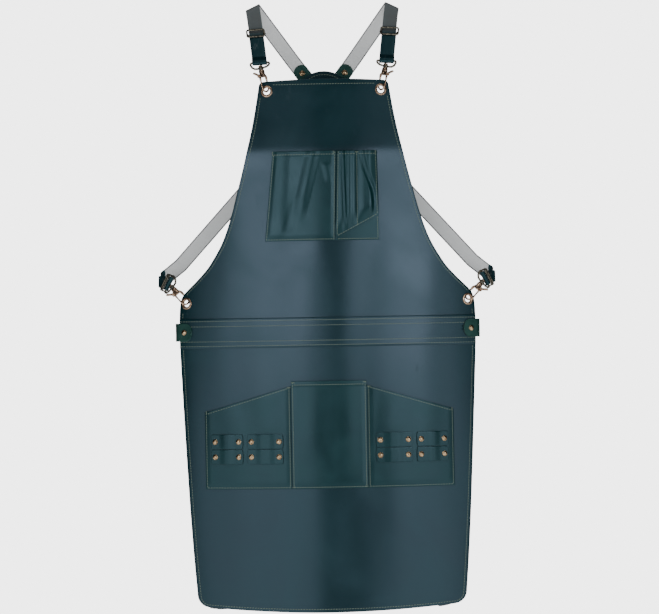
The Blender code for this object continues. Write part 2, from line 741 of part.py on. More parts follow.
def make_hook(name, clip, side):
    frame = hook_frame(clip, side)
    body = ((0, 0.0446), (0.0026, 0.0446), (0.0032, 0.0440), (0.0032, 0.0433), (0.0018, 0.0433),
            (0.0018, 0.0377), (0.0034, 0.0377), (0.0044, 0.0355), (0.0044, 0.0285),
            (0.0026, 0.0254), (0, 0.0248))
    hook = turned(name, body, frame)
    turn_height = HOOK_HALF - 0.0006
    bow = [(-0.0010, 0.0305), (-0.0045, 0.0282), (-HOOK_HALF, 0.0245)]
    for step in range(9):
        angle = math.pi * step / 8
        bow.append((-HOOK_HALF * math.cos(angle), turn_height - HOOK_HALF * math.sin(angle)))
    bow.append((HOOK_HALF, 0.0118))
    others = [wire("bow", placed(frame, [(x, 0, z) for x, z in bow]), HOOK_RADIUS)]
    for cheek in (-1, 1):
        near, far = sorted((cheek * 0.0022, cheek * 0.0033))
        others.append(box("cheek", (0.0012, near, 0.0256), (0.0090, far, 0.0300), frame))
    across = frame @ Matrix.Translation((HOOK_HALF, 0, GATE_PIVOT)) @ Matrix.Rotation(
        math.radians(90), 4, "X")
    others.append(cylinder("pin", 0.0009, -0.0032, 0.0032, across, sides=8))
    hook = combine(hook, others, "UNION")
    set_origin(hook, frame.translation)


def make_gate(name, clip, side):
    frame = hook_frame(clip, side)
    pivot = frame @ Matrix.Translation((HOOK_HALF, 0, GATE_PIVOT))
    across = pivot @ Matrix.Rotation(math.radians(90), 4, "X")
    hub = cylinder(name, 0.0021, -0.0018, 0.0018, across, sides=12)
    bar = wire("bar", placed(pivot, [(0, 0, -0.0010), (0, 0, 0.0122 - GATE_PIVOT)]), 0.0014)
    lever = box("lever", (0.0010, -0.0017, -0.0008), (0.0135, 0.0017, 0.0008),
                pivot @ Matrix.Rotation(math.radians(-25), 4, "Y"))
    gate = combine(hub, [bar, lever], "UNION")
    gate = combine(gate, [cylinder("bore", 0.0013, -0.01, 0.01, across, sides=10)], "DIFFERENCE")
    set_origin(gate, pivot.translation)


def main():
    make_bib()
    make_skirt()
    make_waistband()
    make_chest_pocket()
    make_pen_pocket()
    make_centre_pocket()
    make_patch()
    clips = {"shoulder": Clip("bib", math.radians(12.5), math.radians(10),
                              FOLD + Vector((0, -FOLD_HALF, 0))),
             "waist": Clip("waist", math.radians(46), math.radians(-15),
                           WAIST_RUN)}
    for name, side in (("left", -1), ("right", 1)):
        make_side_pocket(name, side)
        for row in LOOP_ROWS:
            make_loop_rivets(name, side, row)
            for column in LOOP_RIVETS:
                make_loop(name, side, row, column)
        make_side_tab(name, side)
        for place, spot in GROMMETS.items():
            make_grommet(f"{place}_grommet_{name}", side, spot)
        for place, aim in (("shoulder", SHOULDER_AIM), ("waist", WAIST_AIM)):
            make_strap_tab(f"{place}_{name}", aim, side)
        make_strap(f"shoulder_strap_{name}", clips["shoulder"], shoulder_route, side)
        make_strap(f"waist_strap_{name}", clips["waist"], waist_route, side)
        for place, clip in clips.items():
            make_slider(f"{place}_slider_{name}", clip, side, SLIDER_AT[place])
            make_d_loop(f"{place}_d_loop_{name}", clip, side)
            make_hook(f"{place}_hook_{name}", clip, side)
            make_gate(f"{place}_gate_{name}", clip, side)


PARTS, CUTTERS = start_scene()
main()
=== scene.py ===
import math
import random

import bpy
from mathutils import Matrix, Vector


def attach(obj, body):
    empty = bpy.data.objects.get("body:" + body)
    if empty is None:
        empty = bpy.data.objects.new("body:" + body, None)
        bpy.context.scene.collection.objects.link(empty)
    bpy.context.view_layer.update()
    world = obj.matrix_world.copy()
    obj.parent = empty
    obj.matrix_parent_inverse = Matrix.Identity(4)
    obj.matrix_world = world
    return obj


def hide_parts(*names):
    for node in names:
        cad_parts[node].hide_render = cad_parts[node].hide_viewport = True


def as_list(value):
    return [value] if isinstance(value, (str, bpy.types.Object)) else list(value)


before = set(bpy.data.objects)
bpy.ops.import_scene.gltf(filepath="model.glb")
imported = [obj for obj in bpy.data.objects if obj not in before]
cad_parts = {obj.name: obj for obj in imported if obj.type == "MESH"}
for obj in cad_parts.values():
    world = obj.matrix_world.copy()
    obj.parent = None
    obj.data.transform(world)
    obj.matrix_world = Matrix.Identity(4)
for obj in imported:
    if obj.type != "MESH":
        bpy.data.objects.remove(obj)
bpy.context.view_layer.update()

random.seed(7)

# Metres, +Z up, front towards -Y. Heights are given from the middle of the hem, and depths
# outwards from the back of the panel leather, which bends round an upright cylinder.

apron = {
    "bendRadius": 0.520,
    "frontY": -0.050,
    "foldHeight": 1.040,
    "leather": 0.0020,
    "patch": 0.0018,        # pockets, loops, band and tabs
    "gap": 0.0005,
    "layerGap": 0.0003,
}
seamDepth = apron["leather"] + apron["gap"] + apron["patch"]     # front of what is sewn on the panel
band = {"low": 0.454, "high": 0.505, "half": 0.2530, "rows": (0.5005, 0.4915, 0.4655, 0.4577)}
sides = {"left": -1, "right": 1}

# How far the leather hangs out of its plain bend, by height: the bib is pushed out where the
# chest pocket stiffens it, and leans back above that to its clips.
hang = {
    "lean": ((0.0, 0.0), (0.58, 0.0), (0.66, 0.0008), (0.755, 0.0038), (0.788, 0.0050),
             (0.806, 0.0040), (0.860, -0.0004), (0.912, -0.0042)),
    # pitch, turn, drift up the panel, size
    "waves": ((0.21, 0.9, 3.1, 0.00085), (0.125, 2.4, 5.3, 0.00045), (0.068, 4.1, 9.0, 0.00014)),
    "cycle": 6.283,          # radians in one wave
    "sway": 1.6,
}


def through(points, at):     # smooth value through (position, value) points
    span = 0
    while span < len(points) - 2 and at > points[span + 1][0]:
        span += 1
    before, after = max(span - 1, 0), min(span + 2, len(points) - 1)
    (p0, v0), (p1, v1), (p2, v2), (p3, v3) = (points[i] for i in (before, span, span + 1, after))
    width = p2 - p1
    t = min(max((at - p1) / width, 0.0), 1.0)
    slope1, slope2 = (v2 - v0) / (p2 - p0) * width, (v3 - v1) / (p3 - p1) * width
    return ((2 * t**3 - 3 * t**2 + 1) * v1 + (t**3 - 2 * t**2 + t) * slope1
            + (3 * t**2 - 2 * t**3) * v2 + (t**3 - t**2) * slope2)


def mix(low, high, share):
    return low + (high - low) * share


def rise(distance, run):     # 0 at a seam, 1 from run onwards
    share = min(max(distance / run, 0.0), 1.0)
    return share * share * (3 - 2 * share)


def bump(distance, width):   # 1 on a fold's crest, 0 beyond its width
    share = min(abs(distance) / width, 1.0)
    return (1 - share * share) ** 2


def hangOf(x, height):
    waves = sum(size * math.sin(x / pitch * hang["cycle"] + turn
                                + hang["sway"] * math.sin(height * drift + turn))
                for pitch, turn, drift, size in hang["waves"])
    return through(hang["lean"], height) + waves


def onBody(x, height, depth=0.0, hung=True):   # hung=False keeps to the plain bend
    angle = math.asin(x / apron["bendRadius"])
    reach = apron["bendRadius"] + depth + (hangOf(x, height) if hung else 0.0)
    return Vector((reach * math.sin(angle),
                   apron["frontY"] + apron["bendRadius"] - reach * math.cos(angle),
                   height - apron["foldHeight"]))


def facing(x):
    angle = math.asin(x / apron["bendRadius"])
    return Vector((math.sin(angle), -math.cos(angle), 0.0))


def layer(depthOf):          # a surface (x, height) -> point from its depth
    return lambda x, height: onBody(x, height, depthOf(x, height))


# Camera

view = {"lens": 201.2, "sensor": 36, "place": (0.0036, -6.339, -0.5182), "roll": -1.0}

bpy.ops.object.select_all(action="DESELECT")
bpy.ops.object.camera_add(location=view["place"], rotation=(math.radians(90), 0, 0))
camera = bpy.context.object
camera.name = "frontCamera"
camera.data.lens = view["lens"]
camera.data.sensor_width = view["sensor"]
camera.matrix_world = (Matrix.Translation(view["place"]) @ Matrix.Rotation(math.radians(90), 4, "X")
                       @ Matrix.Rotation(math.radians(view["roll"]), 4, "Z"))
bpy.context.scene.camera = camera


# Materials

def newGroup(name, values, outputs):     # each group takes a Vector and a few plain values
    group = bpy.data.node_groups.new(name, "ShaderNodeTree")
    group.interface.new_socket(name="Vector", in_out="INPUT", socket_type="NodeSocketVector")
    for label, value in values.items():
        socket = group.interface.new_socket(name=label, in_out="INPUT", socket_type="NodeSocketFloat")
        socket.default_value = value
    for label in outputs:
        group.interface.new_socket(name=label, in_out="OUTPUT", socket_type="NodeSocketFloat")
    return group, group.nodes.new("NodeGroupInput").outputs, group.nodes.new("NodeGroupOutput").inputs


def closed(group, end, **results):
    for label, socket in results.items():
        group.links.new(socket, end[label])
    return group


def addNode(tree, kind, inputs=(), **settings):
    node = tree.nodes.new(kind)
    for key, value in settings.items():
        setattr(node, key, value)
    for key, value in dict(inputs).items():
        if isinstance(value, bpy.types.NodeSocket):
            tree.links.new(value, node.inputs[key])
        else:
            node.inputs[key].default_value = value
    return node


def math2(tree, operation, first, second, clamp=False):
    node = addNode(tree, "ShaderNodeMath", {0: first, 1: second}, operation=operation)
    node.use_clamp = clamp
    return node.outputs[0]

def weighed(tree, *parts, clamp=False):      # a sum of sockets, each times its weight
    total, *others = [math2(tree, "MULTIPLY", *part) for part in parts]
    for share in others:
        total = math2(tree, "ADD", total, share, clamp)
    return total


def remap(tree, value, low, high, toLow=0.0, toHigh=1.0):
    return addNode(tree, "ShaderNodeMapRange", {"Value": value, "From Min": low, "From Max": high,
                                                "To Min": toLow, "To Max": toHigh}).outputs["Result"]


def noise(tree, vector, scale, detail=3.0, rough=0.5, warp=0.0):
    return addNode(tree, "ShaderNodeTexNoise", {"Vector": vector, "Scale": scale, "Detail": detail,
                                                "Roughness": rough, "Distortion": warp}).outputs["Fac"]


def makeHideGrain():         # pores and creases, cloudy mottling and rubbed scratches
    group, start, end = newGroup("hideGrain", {"Pores": 900.0, "Mottle": 9.0},
                                 ("Mottle", "Height", "Scuff"))
    vector = start["Vector"]
    pores = addNode(group, "ShaderNodeTexVoronoi", {"Vector": vector, "Scale": start["Pores"]},
                    feature="SMOOTH_F1").outputs["Distance"]
    fine, creases = noise(group, vector, 420.0, 4.0, 0.6), noise(group, vector, 60.0, 5.0, 0.62)
    stretched = addNode(group, "ShaderNodeMapping", {"Vector": vector, "Scale": (1.0, 1.0, 0.16),
                                                     "Rotation": (0.0, 0.35, 0.0)}).outputs["Vector"]
    scuff = math2(group, "MULTIPLY", remap(group, noise(group, stretched, 190.0, 3.0, 0.7), 0.60, 0.72),
                  remap(group, noise(group, vector, 22.0), 0.5, 0.66))
    mottle = remap(group, noise(group, vector, start["Mottle"], 4.0, warp=0.6), 0.32, 0.68)
    return closed(group, end, Mottle=mottle, Scuff=scuff,
                  Height=weighed(group, (pores, 0.35), (fine, 0.3), (creases, 0.5)))


def makeWeave():             # threads both ways
    group, start, end = newGroup("webWeave", {"Threads": 330.0}, ("Height", "Tone"))
    vector, threads = start["Vector"], start["Threads"]
    warp, weft = [addNode(group, "ShaderNodeTexWave", {"Vector": vector, "Scale": threads,
                                                       "Distortion": 0.6, "Detail": 1.0},
                          bands_direction=way).outputs["Fac"] for way in ("X", "Y")]
    return closed(group, end, Height=math2(group, "MAXIMUM", warp, weft),
                  Tone=weighed(group, (warp, 0.35), (noise(group, vector, 900.0, 2.0), 0.65)))


def makePatina():            # brown blotches and dark pits
    group, start, end = newGroup("brassPatina", {"Blotches": 260.0}, ("Tarnish", "Height"))
    vector = start["Vector"]
    blotches = remap(group, noise(group, vector, start["Blotches"], 5.0), 0.38, 0.66)
    pits = noise(group, vector, 1800.0, 3.0)
    tarnish = weighed(group, (blotches, 1.0), (remap(group, pits, 0.52, 0.7), 0.4), clamp=True)
    return closed(group, end, Tarnish=tarnish, Height=pits)


hideGrain, webWeave, brassPatina = makeHideGrain(), makeWeave(), makePatina()


def newFinish(name, constants):
    finish = bpy.data.materials.new(name)
    finish.use_nodes = True
    for label, value in constants.items():
        finish.node_tree.nodes["Principled BSDF"].inputs[label].default_value = value
    return finish, finish.node_tree


def placeGroup(tree, group, vector, values):
    return addNode(tree, "ShaderNodeGroup", {"Vector": vector, **values}, node_tree=group).outputs


def blendColour(tree, share, first, second):
    return addNode(tree, "ShaderNodeMix", {0: share, 6: first, 7: second}, data_type="RGBA").outputs[2]


def objectVector(tree):
    return addNode(tree, "ShaderNodeTexCoord").outputs["Object"]


def finished(finish, colour, roughness=None, height=None, depth=0.00012, strength=1.0):
    tree, sockets = finish.node_tree, {"Base Color": colour, "Roughness": roughness}
    if height is not None:
        sockets["Normal"] = addNode(tree, "ShaderNodeBump", {"Height": height, "Distance": depth,
                                                             "Strength": strength}).outputs["Normal"]
    for label, socket in sockets.items():
        if socket is not None:
            tree.links.new(socket, tree.nodes["Principled BSDF"].inputs[label])
    return finish


def leatherFinish(name, deep, light, worn, rough, coat, gloss, tint, pores=900.0, mottle=9.0):
    finish, tree = newFinish(name, {"IOR": 1.5, "Coat Weight": coat, "Coat Roughness": 0.28,
                                    "Coat IOR": 1.45, "Specular IOR Level": gloss,
                                    "Specular Tint": tint})
    grain = placeGroup(tree, hideGrain, objectVector(tree), {"Pores": pores, "Mottle": mottle})
    colour = blendColour(tree, grain["Mottle"], deep, light)
    colour = blendColour(tree, math2(tree, "MULTIPLY", grain["Scuff"], 0.35), colour, worn)
    roughness = weighed(tree, (remap(tree, grain["Mottle"], 0.0, 1.0, *rough), 1.0),
                        (grain["Scuff"], 0.12))
    return finished(finish, colour, roughness, grain["Height"], 0.00010, 0.7)


def fleshFinish(name, dark, pale):
    finish, tree = newFinish(name, {"Sheen Weight": 0.35, "Sheen Roughness": 0.5, "IOR": 1.4})
    vector = objectVector(tree)
    nap, clouds = noise(tree, vector, 700.0, 5.0, 0.7), noise(tree, vector, 14.0, 4.0, 0.6)
    share = weighed(tree, (nap, 0.5), (clouds, 0.6), clamp=True)
    return finished(finish, blendColour(tree, share, dark, pale),
                    remap(tree, nap, 0.2, 0.8, 0.78, 0.95), nap, 0.00035)


def edgeFinish(name, dark, pale):     # a cut and burnished edge, in thin layers
    finish, tree = newFinish(name, {"IOR": 1.45})
    fibres = noise(tree, objectVector(tree), 1400.0, 4.0, 0.6)
    return finished(finish, blendColour(tree, fibres, dark, pale),
                    remap(tree, fibres, 0.3, 0.7, 0.42, 0.62), fibres)


def liningFinish(name):               # woven grey lining with leather turned over both edges
    finish, tree = newFinish(name, {"Sheen Weight": 0.15, "IOR": 1.4})
    place = addNode(tree, "ShaderNodeUVMap", uv_map="strapMap").outputs["UV"]
    weave = placeGroup(tree, webWeave, place, {"Threads": 300.0})
    across = addNode(tree, "ShaderNodeSeparateXYZ", {"Vector": place}).outputs["X"]
    half = harness["width"] / 2
    off = math2(tree, "ABSOLUTE", math2(tree, "SUBTRACT", across, half), 0.0)
    cloth = blendColour(tree, weave["Tone"], (0.52, 0.53, 0.53, 1), (0.76, 0.77, 0.77, 1))
    colour = blendColour(tree, remap(tree, off, half - 0.0024, half - 0.0018), cloth,
                         (0.13, 0.135, 0.14, 1))
    return finished(finish, colour, remap(tree, weave["Tone"], 0.0, 1.0, 0.72, 0.9),
                    weave["Height"], 0.00018)


def strapFinish(name, paintedHighlight, below, highlightFrom):   # darker teal below the slider; above it a painted charcoal highlight, standing in for the leather's sheen
    finish, tree = newFinish(name, {"IOR": 1.5, "Coat Weight": 0.04, "Coat Roughness": 0.25,
                                    "Specular Tint": (0.35, 0.80, 0.95, 1)})
    vector = objectVector(tree)
    grain = placeGroup(tree, hideGrain, vector, {"Pores": 1000.0, "Mottle": 30.0})
    level = addNode(tree, "ShaderNodeSeparateXYZ", {"Vector": vector}).outputs["Z"]
    # painted highlight: above the slider's height the strap takes the charcoal colour, standing in for the
    # sheen of the leather there
    colour = blendColour(tree, remap(tree, level, highlightFrom - 0.006, highlightFrom + 0.006), below, paintedHighlight)
    colour = blendColour(tree, math2(tree, "MULTIPLY", grain["Scuff"], 0.4), colour,
                         (0.12, 0.125, 0.125, 1))
    return finished(finish, colour, remap(tree, grain["Mottle"], 0.0, 1.0, 0.36, 0.50),
                    grain["Height"])


def threadFinish(name, deep, pale):
    finish, tree = newFinish(name, {"Roughness": 0.62, "IOR": 1.45})
    vector = objectVector(tree)
    twist, wide = noise(tree, vector, 2600.0, 2.0), noise(tree, vector, 25.0, 2.0)
    share = weighed(tree, (twist, 0.5), (wide, 0.5), clamp=True)
    return finished(finish, blendColour(tree, share, deep, pale), height=twist)


def brassFinish(name, clean, tarnished, rough):
    finish, tree = newFinish(name, {"Metallic": 1.0})
    patina = placeGroup(tree, brassPatina, objectVector(tree), {"Blotches": 260.0})
    return finished(finish, blendColour(tree, patina["Tarnish"], clean, tarnished),
                    remap(tree, patina["Tarnish"], 0.0, 1.0, *rough), patina["Height"], 0.00006)


harness = {
    "patchHeight": 0.878,
    "patchRadius": 0.053,
    "patchY": 0.0500,
    "width": 0.0250,
    "thick": 0.0020,
    "start": 0.050,          # from the patch centre
    "firstBend": 0.090,
    "discRings": ((0.0085, 0.0), (0.0040, 0.0005), (0.016, 0.0004)),    # inset and lift
    "tabRivet": 0.0617,
    "tabRivet": 0.0617,
    "tab": (0.034, 0.076),
    "tabEnd": 0.010,
    "tabTail": 0.0048,
    "patchSeam": 0.0468,     # radius of the patch's stitching
    "clipLength": 0.050,
    "barLoop": 0.0032,
    "layerStep": 0.0024,
    "turn": 0.2815,          # past this x the waist straps show their leather face
    "doubled": {"shoulder": 0.050, "waist": 0.030},    # how far each end is turned back
    "straight": {"shoulder": (0.082, 0.050), "waist": (0.037, 0.020)},   # last bend, its radius
}

finishes = {
    "panel": leatherFinish("tealLeather", (0.0001, 0.0130, 0.0160, 1), (0.0005, 0.0185, 0.0215, 1),
                           (0.010, 0.026, 0.032, 1), (0.28, 0.36), coat=0.02,
                           gloss=0.60, tint=(0.60, 0.78, 1.0, 1)),
    "pocket": leatherFinish("pocketLeather", (0.0002, 0.0135, 0.0145, 1),
                            (0.0010, 0.0200, 0.0200, 1), (0.012, 0.030, 0.031, 1), (0.30, 0.40),
                            mottle=16.0, coat=0.03, gloss=0.52, tint=(0.52, 0.82, 1.0, 1)),
    "tab": leatherFinish("greenTabLeather", (0.0050, 0.0230, 0.0195, 1),
                         (0.0090, 0.0350, 0.0290, 1), (0.05, 0.09, 0.07, 1), (0.34, 0.46),
                         pores=1100.0, mottle=40.0, coat=0.0, gloss=0.45,
                         tint=(0.50, 0.98, 0.90, 1)),
    "flesh": fleshFinish("fleshSide", (0.035, 0.052, 0.056, 1), (0.100, 0.125, 0.130, 1)),
    "edge": edgeFinish("cutEdge", (0.004, 0.016, 0.020, 1), (0.018, 0.040, 0.044, 1)),
    # the charcoal colour is a painted highlight on the strap above the slider; the dark teal below it is the
    # leather's own colour
    "strap": strapFinish("strapLeather", (0.074, 0.071, 0.069, 1), (0.002, 0.011, 0.014, 1), -0.046),
    "strapEdge": edgeFinish("strapEdge", (0.020, 0.022, 0.023, 1), (0.050, 0.052, 0.053, 1)),
    "lining": liningFinish("greyLining"),
    "thread": threadFinish("greenThread", (0.065, 0.095, 0.078, 1), (0.155, 0.20, 0.155, 1)),
    "brass": brassFinish("antiqueBrass", (0.62, 0.45, 0.27, 1), (0.20, 0.125, 0.070, 1), (0.20, 0.42)),
    "darkBrass": brassFinish("darkBrass", (0.24, 0.22, 0.17, 1), (0.055, 0.052, 0.046, 1), (0.26, 0.48)),
    "copper": brassFinish("hookBrass", (0.56, 0.40, 0.28, 1), (0.17, 0.105, 0.075, 1), (0.22, 0.44)),
}
print("finishes ready:", len(finishes))


# Mesh helpers

def only(piece):             # the one selected and active object
    bpy.ops.object.select_all(action="DESELECT")
    piece.select_set(True)
    bpy.context.view_layer.objects.active = piece


def added(primitive, **settings):    # a new primitive, the only thing selected
    bpy.ops.object.select_all(action="DESELECT")
    primitive(**settings)
    return bpy.context.object


def applyAll(piece):
    only(piece)
    for step in list(piece.modifiers):
        bpy.ops.object.modifier_apply(modifier=step.name)


def editAll(piece):          # edit mode with the whole piece selected
    only(piece)
    bpy.ops.object.mode_set(mode="EDIT")
    bpy.ops.mesh.select_all(action="SELECT")


def placeApplied(piece):     # its place, turn and size go into the mesh
    only(piece)
    bpy.ops.object.transform_apply(location=True, rotation=True, scale=True)


def give(piece, *names):
    piece.data.materials.clear()
    for name in names:
        piece.data.materials.append(finishes[name])


def settle(piece, angle=40):          # smooth shading, with the place in the mesh
    placeApplied(piece)
    bpy.ops.object.shade_smooth_by_angle(angle=math.radians(angle))
    return piece


def stands(piece, *nodes, body="root", slot="leather_dark"):
    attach(piece, body)
    if nodes:
        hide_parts(*nodes)
    return piece


def bevelled(piece, width, segments=2):         # its sharp edges
    edge = piece.modifiers.new("rounded", "BEVEL")
    edge.width, edge.segments, edge.limit_method = width, segments, "ANGLE"
    edge.angle_limit = math.radians(60)
    applyAll(piece)


def leatherSheet(name, place, across, along, thick, faces, side=1, offset=-1.0, bevel=0.00035,
                 mapped=None, even=False):
    piece = added(bpy.ops.mesh.primitive_grid_add, x_subdivisions=across, y_subdivisions=along, size=1)
    piece.name = piece.data.name = name
    spots = [(0.5 + side * corner.co.x, corner.co.y + 0.5) for corner in piece.data.vertices]
    if mapped:               # across and along the strap, in metres
        layerMap = piece.data.uv_layers[0]
        layerMap.name = "strapMap"
        for loop, uv in zip(piece.data.loops, layerMap.data):
            u, v = spots[loop.vertex_index]
            uv.uv = (u * mapped[0], v * mapped[1])
    for corner, (u, v) in zip(piece.data.vertices, spots):
        corner.co = place(u, v)
    give(piece, *faces)
    solid = piece.modifiers.new("thickness", "SOLIDIFY")
    solid.thickness = thick
    solid.offset, solid.use_even_offset = offset, even
    solid.material_offset, solid.material_offset_rim = 1, 2
    bevelled(piece, bevel)
    return settle(piece)


def patchSheet(name, place, across, along, face="pocket", side=1):
    return leatherSheet(name, place, across, along, apron["patch"], (face, "flesh", "edge"), side)


def frameAt(origin, axis, across):
    up = axis.normalized()
    level = (across - up * across.dot(up)).normalized()
    turn = Matrix((level, up.cross(level), up)).transposed().to_4x4()
    return Matrix.Translation(origin) @ turn


def frameOn(surface, x, height, lift=0.0):     # Z outwards from a surface
    step = 0.001
    across = surface(x + step, height) - surface(x - step, height)
    upwards = surface(x, height + step) - surface(x, height - step)
    out = across.cross(upwards).normalized()
    return frameAt(surface(x, height) + out * lift, out, Vector((0, 0, 1)))


def joined(name, pieces):
    only(pieces[0])
    for piece in pieces:
        piece.select_set(True)
    if len(pieces) > 1:
        bpy.ops.object.join()
    piece = bpy.context.object
    piece.name = piece.data.name = name
    return piece


def punch(piece, places, radius):              # round holes through a sheet
    cutters = []
    for place in places:
        cutters.append(added(bpy.ops.mesh.primitive_cylinder_add, vertices=40, radius=radius, depth=0.03))
        cutters[-1].matrix_world = place
    cutter = joined("cutter", cutters)
    give(cutter, "edge")
    hole = piece.modifiers.new("holes", "BOOLEAN")
    hole.operation, hole.solver, hole.object = "DIFFERENCE", "EXACT", cutter
    applyAll(piece)
    bpy.data.objects.remove(cutter, do_unlink=True)
    return settle(piece)


def copyOf(piece, name, place):
    fresh = piece.copy()
    fresh.data = piece.data.copy()
    fresh.name = name
    bpy.context.scene.collection.objects.link(fresh)
    fresh.matrix_world = place
    return fresh


# Stitching

thread = {
    "pitch": 0.0046,
    "length": 0.0041,
    "width": 0.00125,
    "thick": 0.00085,
    "slant": 0.10,
    "sunk": 0.00012,
    "clear": 0.0160,         # no stitch this near to an eyelet
    "step": 0.0008,
    "sway": 0.03,
    "tackSize": (0.0024, 0.0007),
}


def makeStitch():            # one stitch, a low rounded grain
    stitch = added(bpy.ops.mesh.primitive_uv_sphere_add, segments=6, ring_count=4, radius=0.5,
                   rotation=(0, math.radians(90), 0))
    placeApplied(stitch)
    shape = ([tuple(corner.co) for corner in stitch.data.vertices],
             [tuple(face.vertices) for face in stitch.data.polygons])
    bpy.data.objects.remove(stitch, do_unlink=True)
    return shape


stitchShape = makeStitch()


def walk(path, pitch):       # evenly spaced (point, direction) along (x, height) corners
    corners = [Vector(corner) for corner in path]
    runs = [(a, b) for a, b in zip(corners, corners[1:]) if (b - a).length > 1e-7]
    total = sum((b - a).length for a, b in runs)
    count = max(1, round(total / pitch))
    spots, done, index = [], 0.0, 0
    for step in range(count):
        at = (step + 0.5) * total / count
        while index < len(runs) - 1 and at > done + (runs[index][1] - runs[index][0]).length:
            done += (runs[index][1] - runs[index][0]).length
            index += 1
        a, b = runs[index]
        spots.append((a + (b - a).normalized() * (at - done), (b - a).normalized()))
    return spots


def stitching(name, rows, tacks=(), clear=()):      # clear: middles no stitch comes near
    corners, faces = [], []

    def sew(surface, spot, way, length, width):
        x, height = spot
        step = way * thread["step"]
        along = surface(x + step.x, height + step.y) - surface(x - step.x, height - step.y)
        out = frameOn(surface, x, height).to_3x3().col[2]
        side = out.cross(along).normalized()
        slant = thread["slant"] + random.uniform(-thread["sway"], thread["sway"])
        along = (along.normalized() + side * slant).normalized()
        side = out.cross(along)
        centre = surface(x, height) + out * thread["sunk"]
        first = len(corners)
        for a, b, c in stitchShape[0]:
            corners.append(centre + along * a * length + side * b * width + out * c * thread["thick"])
        faces.extend(tuple(first + index for index in face) for face in stitchShape[1])

    for surface, path in rows:
        for spot, way in walk(path, thread["pitch"]):
            if all((spot - Vector(middle)).length > thread["clear"] for middle in clear):
                sew(surface, spot, way, thread["length"], thread["width"])
    for surface, (x, height), way, size in tacks:     # dense short stitches across the line
        line, cross = Vector(way).normalized(), Vector((-way[1], way[0])).normalized()
        for step in range(7):
            spot = Vector((x, height)) + line * (step - 3) * size / 6
            sew(surface, spot, cross, *thread["tackSize"])
    mesh = bpy.data.meshes.new(name)
    mesh.from_pydata(corners, [], faces)
    piece = bpy.data.objects.new(name, mesh)
    bpy.context.scene.collection.objects.link(piece)
    give(piece, "thread")
    return stands(settle(piece, 80))


# Bib

bib = {
    "edge": ((0.470, 0.2540), (0.518, 0.2535), (0.541, 0.2494), (0.551, 0.2423), (0.570, 0.2229),
             (0.596, 0.2004), (0.646, 0.1729), (0.734, 0.1459), (0.826, 0.1238), (0.912, 0.1104)),
    "topBow": 0.003,
    "crowd": 1.12,           # rows of the sheet stand closer towards the top
    "corner": 0.007,
    "inset": 0.0058,         # edge to stitching
    "grommets": {"bib": (0.0978, 0.8925), "waist": (0.2410, 0.5320)},
    "tabRivet": (0.2440, 0.4820),
    "holeRadius": 0.0067,
}
bibTop = bib["edge"][-1][0]
panelFront = layer(lambda x, height: apron["leather"])
eyelets = [(side * x, height) for side in sides.values() for x, height in bib["grommets"].values()]


def bibHalf(height, inset=0.0):
    half = through(bib["edge"], height) - inset
    below, corner = bibTop - inset - height, bib["corner"] - inset * 0.5
    if 0 <= below < corner:
        half -= corner - math.sqrt(corner**2 - (corner - below) ** 2)
    return half


def bibBow(share, height):
    return bib["topBow"] * share**2 * rise(height - bibTop + 0.08, 0.08)


def bibPlace(u, v):
    share = 2 * u - 1
    height = bibTop - (bibTop - bib["edge"][0][0]) * (1 - v) ** bib["crowd"] if v < 1 else bibTop
    return panelFront(share * bibHalf(height), height - bibBow(share, height))


def bibSeam():
    inset = bib["inset"]
    heights = [mix(band["high"] + 0.001, bibTop - inset, step / 60) for step in range(61)]
    right = [(bibHalf(height, inset), height) for height in heights]
    path = [(-x, height) for x, height in right] + [(x, height) for x, height in reversed(right)]
    return [(x, height - bibBow(x / max(bibHalf(height, inset), 0.01), height)) for x, height in path]


bibPiece = leatherSheet("bib_leather", bibPlace, 110, 130, apron["leather"], ("panel", "flesh", "edge"))
stands(punch(bibPiece, [frameOn(panelFront, *spot) for spot in eyelets], bib["holeRadius"]), "bib_panel")
bibStitches = stitching("bib_stitching", [(panelFront, bibSeam())], clear=eyelets)
print("bib made")


# Skirt and waistband

skirt = {
    "edge": ((0.0, 0.2290), (0.087, 0.2357), (0.190, 0.2418), (0.431, 0.2530), (0.470, 0.2540)),
    "hemBow": 0.009,
    "seamBow": 0.23,         # half width that the seam's bow is reckoned on
    "rows": 130,             # of the sheet, with those in its round corners
    "cornerRows": 12,
    "corner": 0.020,
    "top": 0.4695,
}


def hemBow(share, height):
    return skirt["hemBow"] * share**2 * (1 - height / skirt["top"])


def skirtHalf(height):
    half, corner = through(skirt["edge"], height), skirt["corner"]
    if height < corner:
        half -= corner - math.sqrt(max(corner**2 - (corner - height) ** 2, 0.0))
    return half


def skirtPlace(u, v):
    corner, row = skirt["corner"], v * skirt["rows"]
    if row <= skirt["cornerRows"]:
        height = corner * (1 - math.cos(row * math.pi / (2 * skirt["cornerRows"])))
    else:
        height = mix(corner, skirt["top"],
                     (row - skirt["cornerRows"]) / (skirt["rows"] - skirt["cornerRows"]))
    share = 2 * u - 1
    return panelFront(share * skirtHalf(height), height + hemBow(share, height))


def skirtSeam():
    inset, corner = bib["inset"], skirt["corner"]
    right = [(through(skirt["edge"], height) - inset, height)
             for height in [mix(band["low"] - 0.002, corner, step / 40) for step in range(41)]]
    middle = through(skirt["edge"], corner) - corner
    for step in range(1, 9):
        angle = math.pi / 2 * step / 8
        right.append((middle + (corner - inset) * math.cos(angle),
                      corner - (corner - inset) * math.sin(angle)))
    right += [(middle * (1 - step / 20), inset) for step in range(1, 21)]
    path = right + [(-x, height) for x, height in reversed(right[:-1])]
    return [(x, height + hemBow(x / skirt["seamBow"], height)) for x, height in path]


bandFront = layer(lambda x, height: seamDepth)


def bandPlace(u, v):
    return bandFront((2 * u - 1) * band["half"], mix(band["low"], band["high"], v))


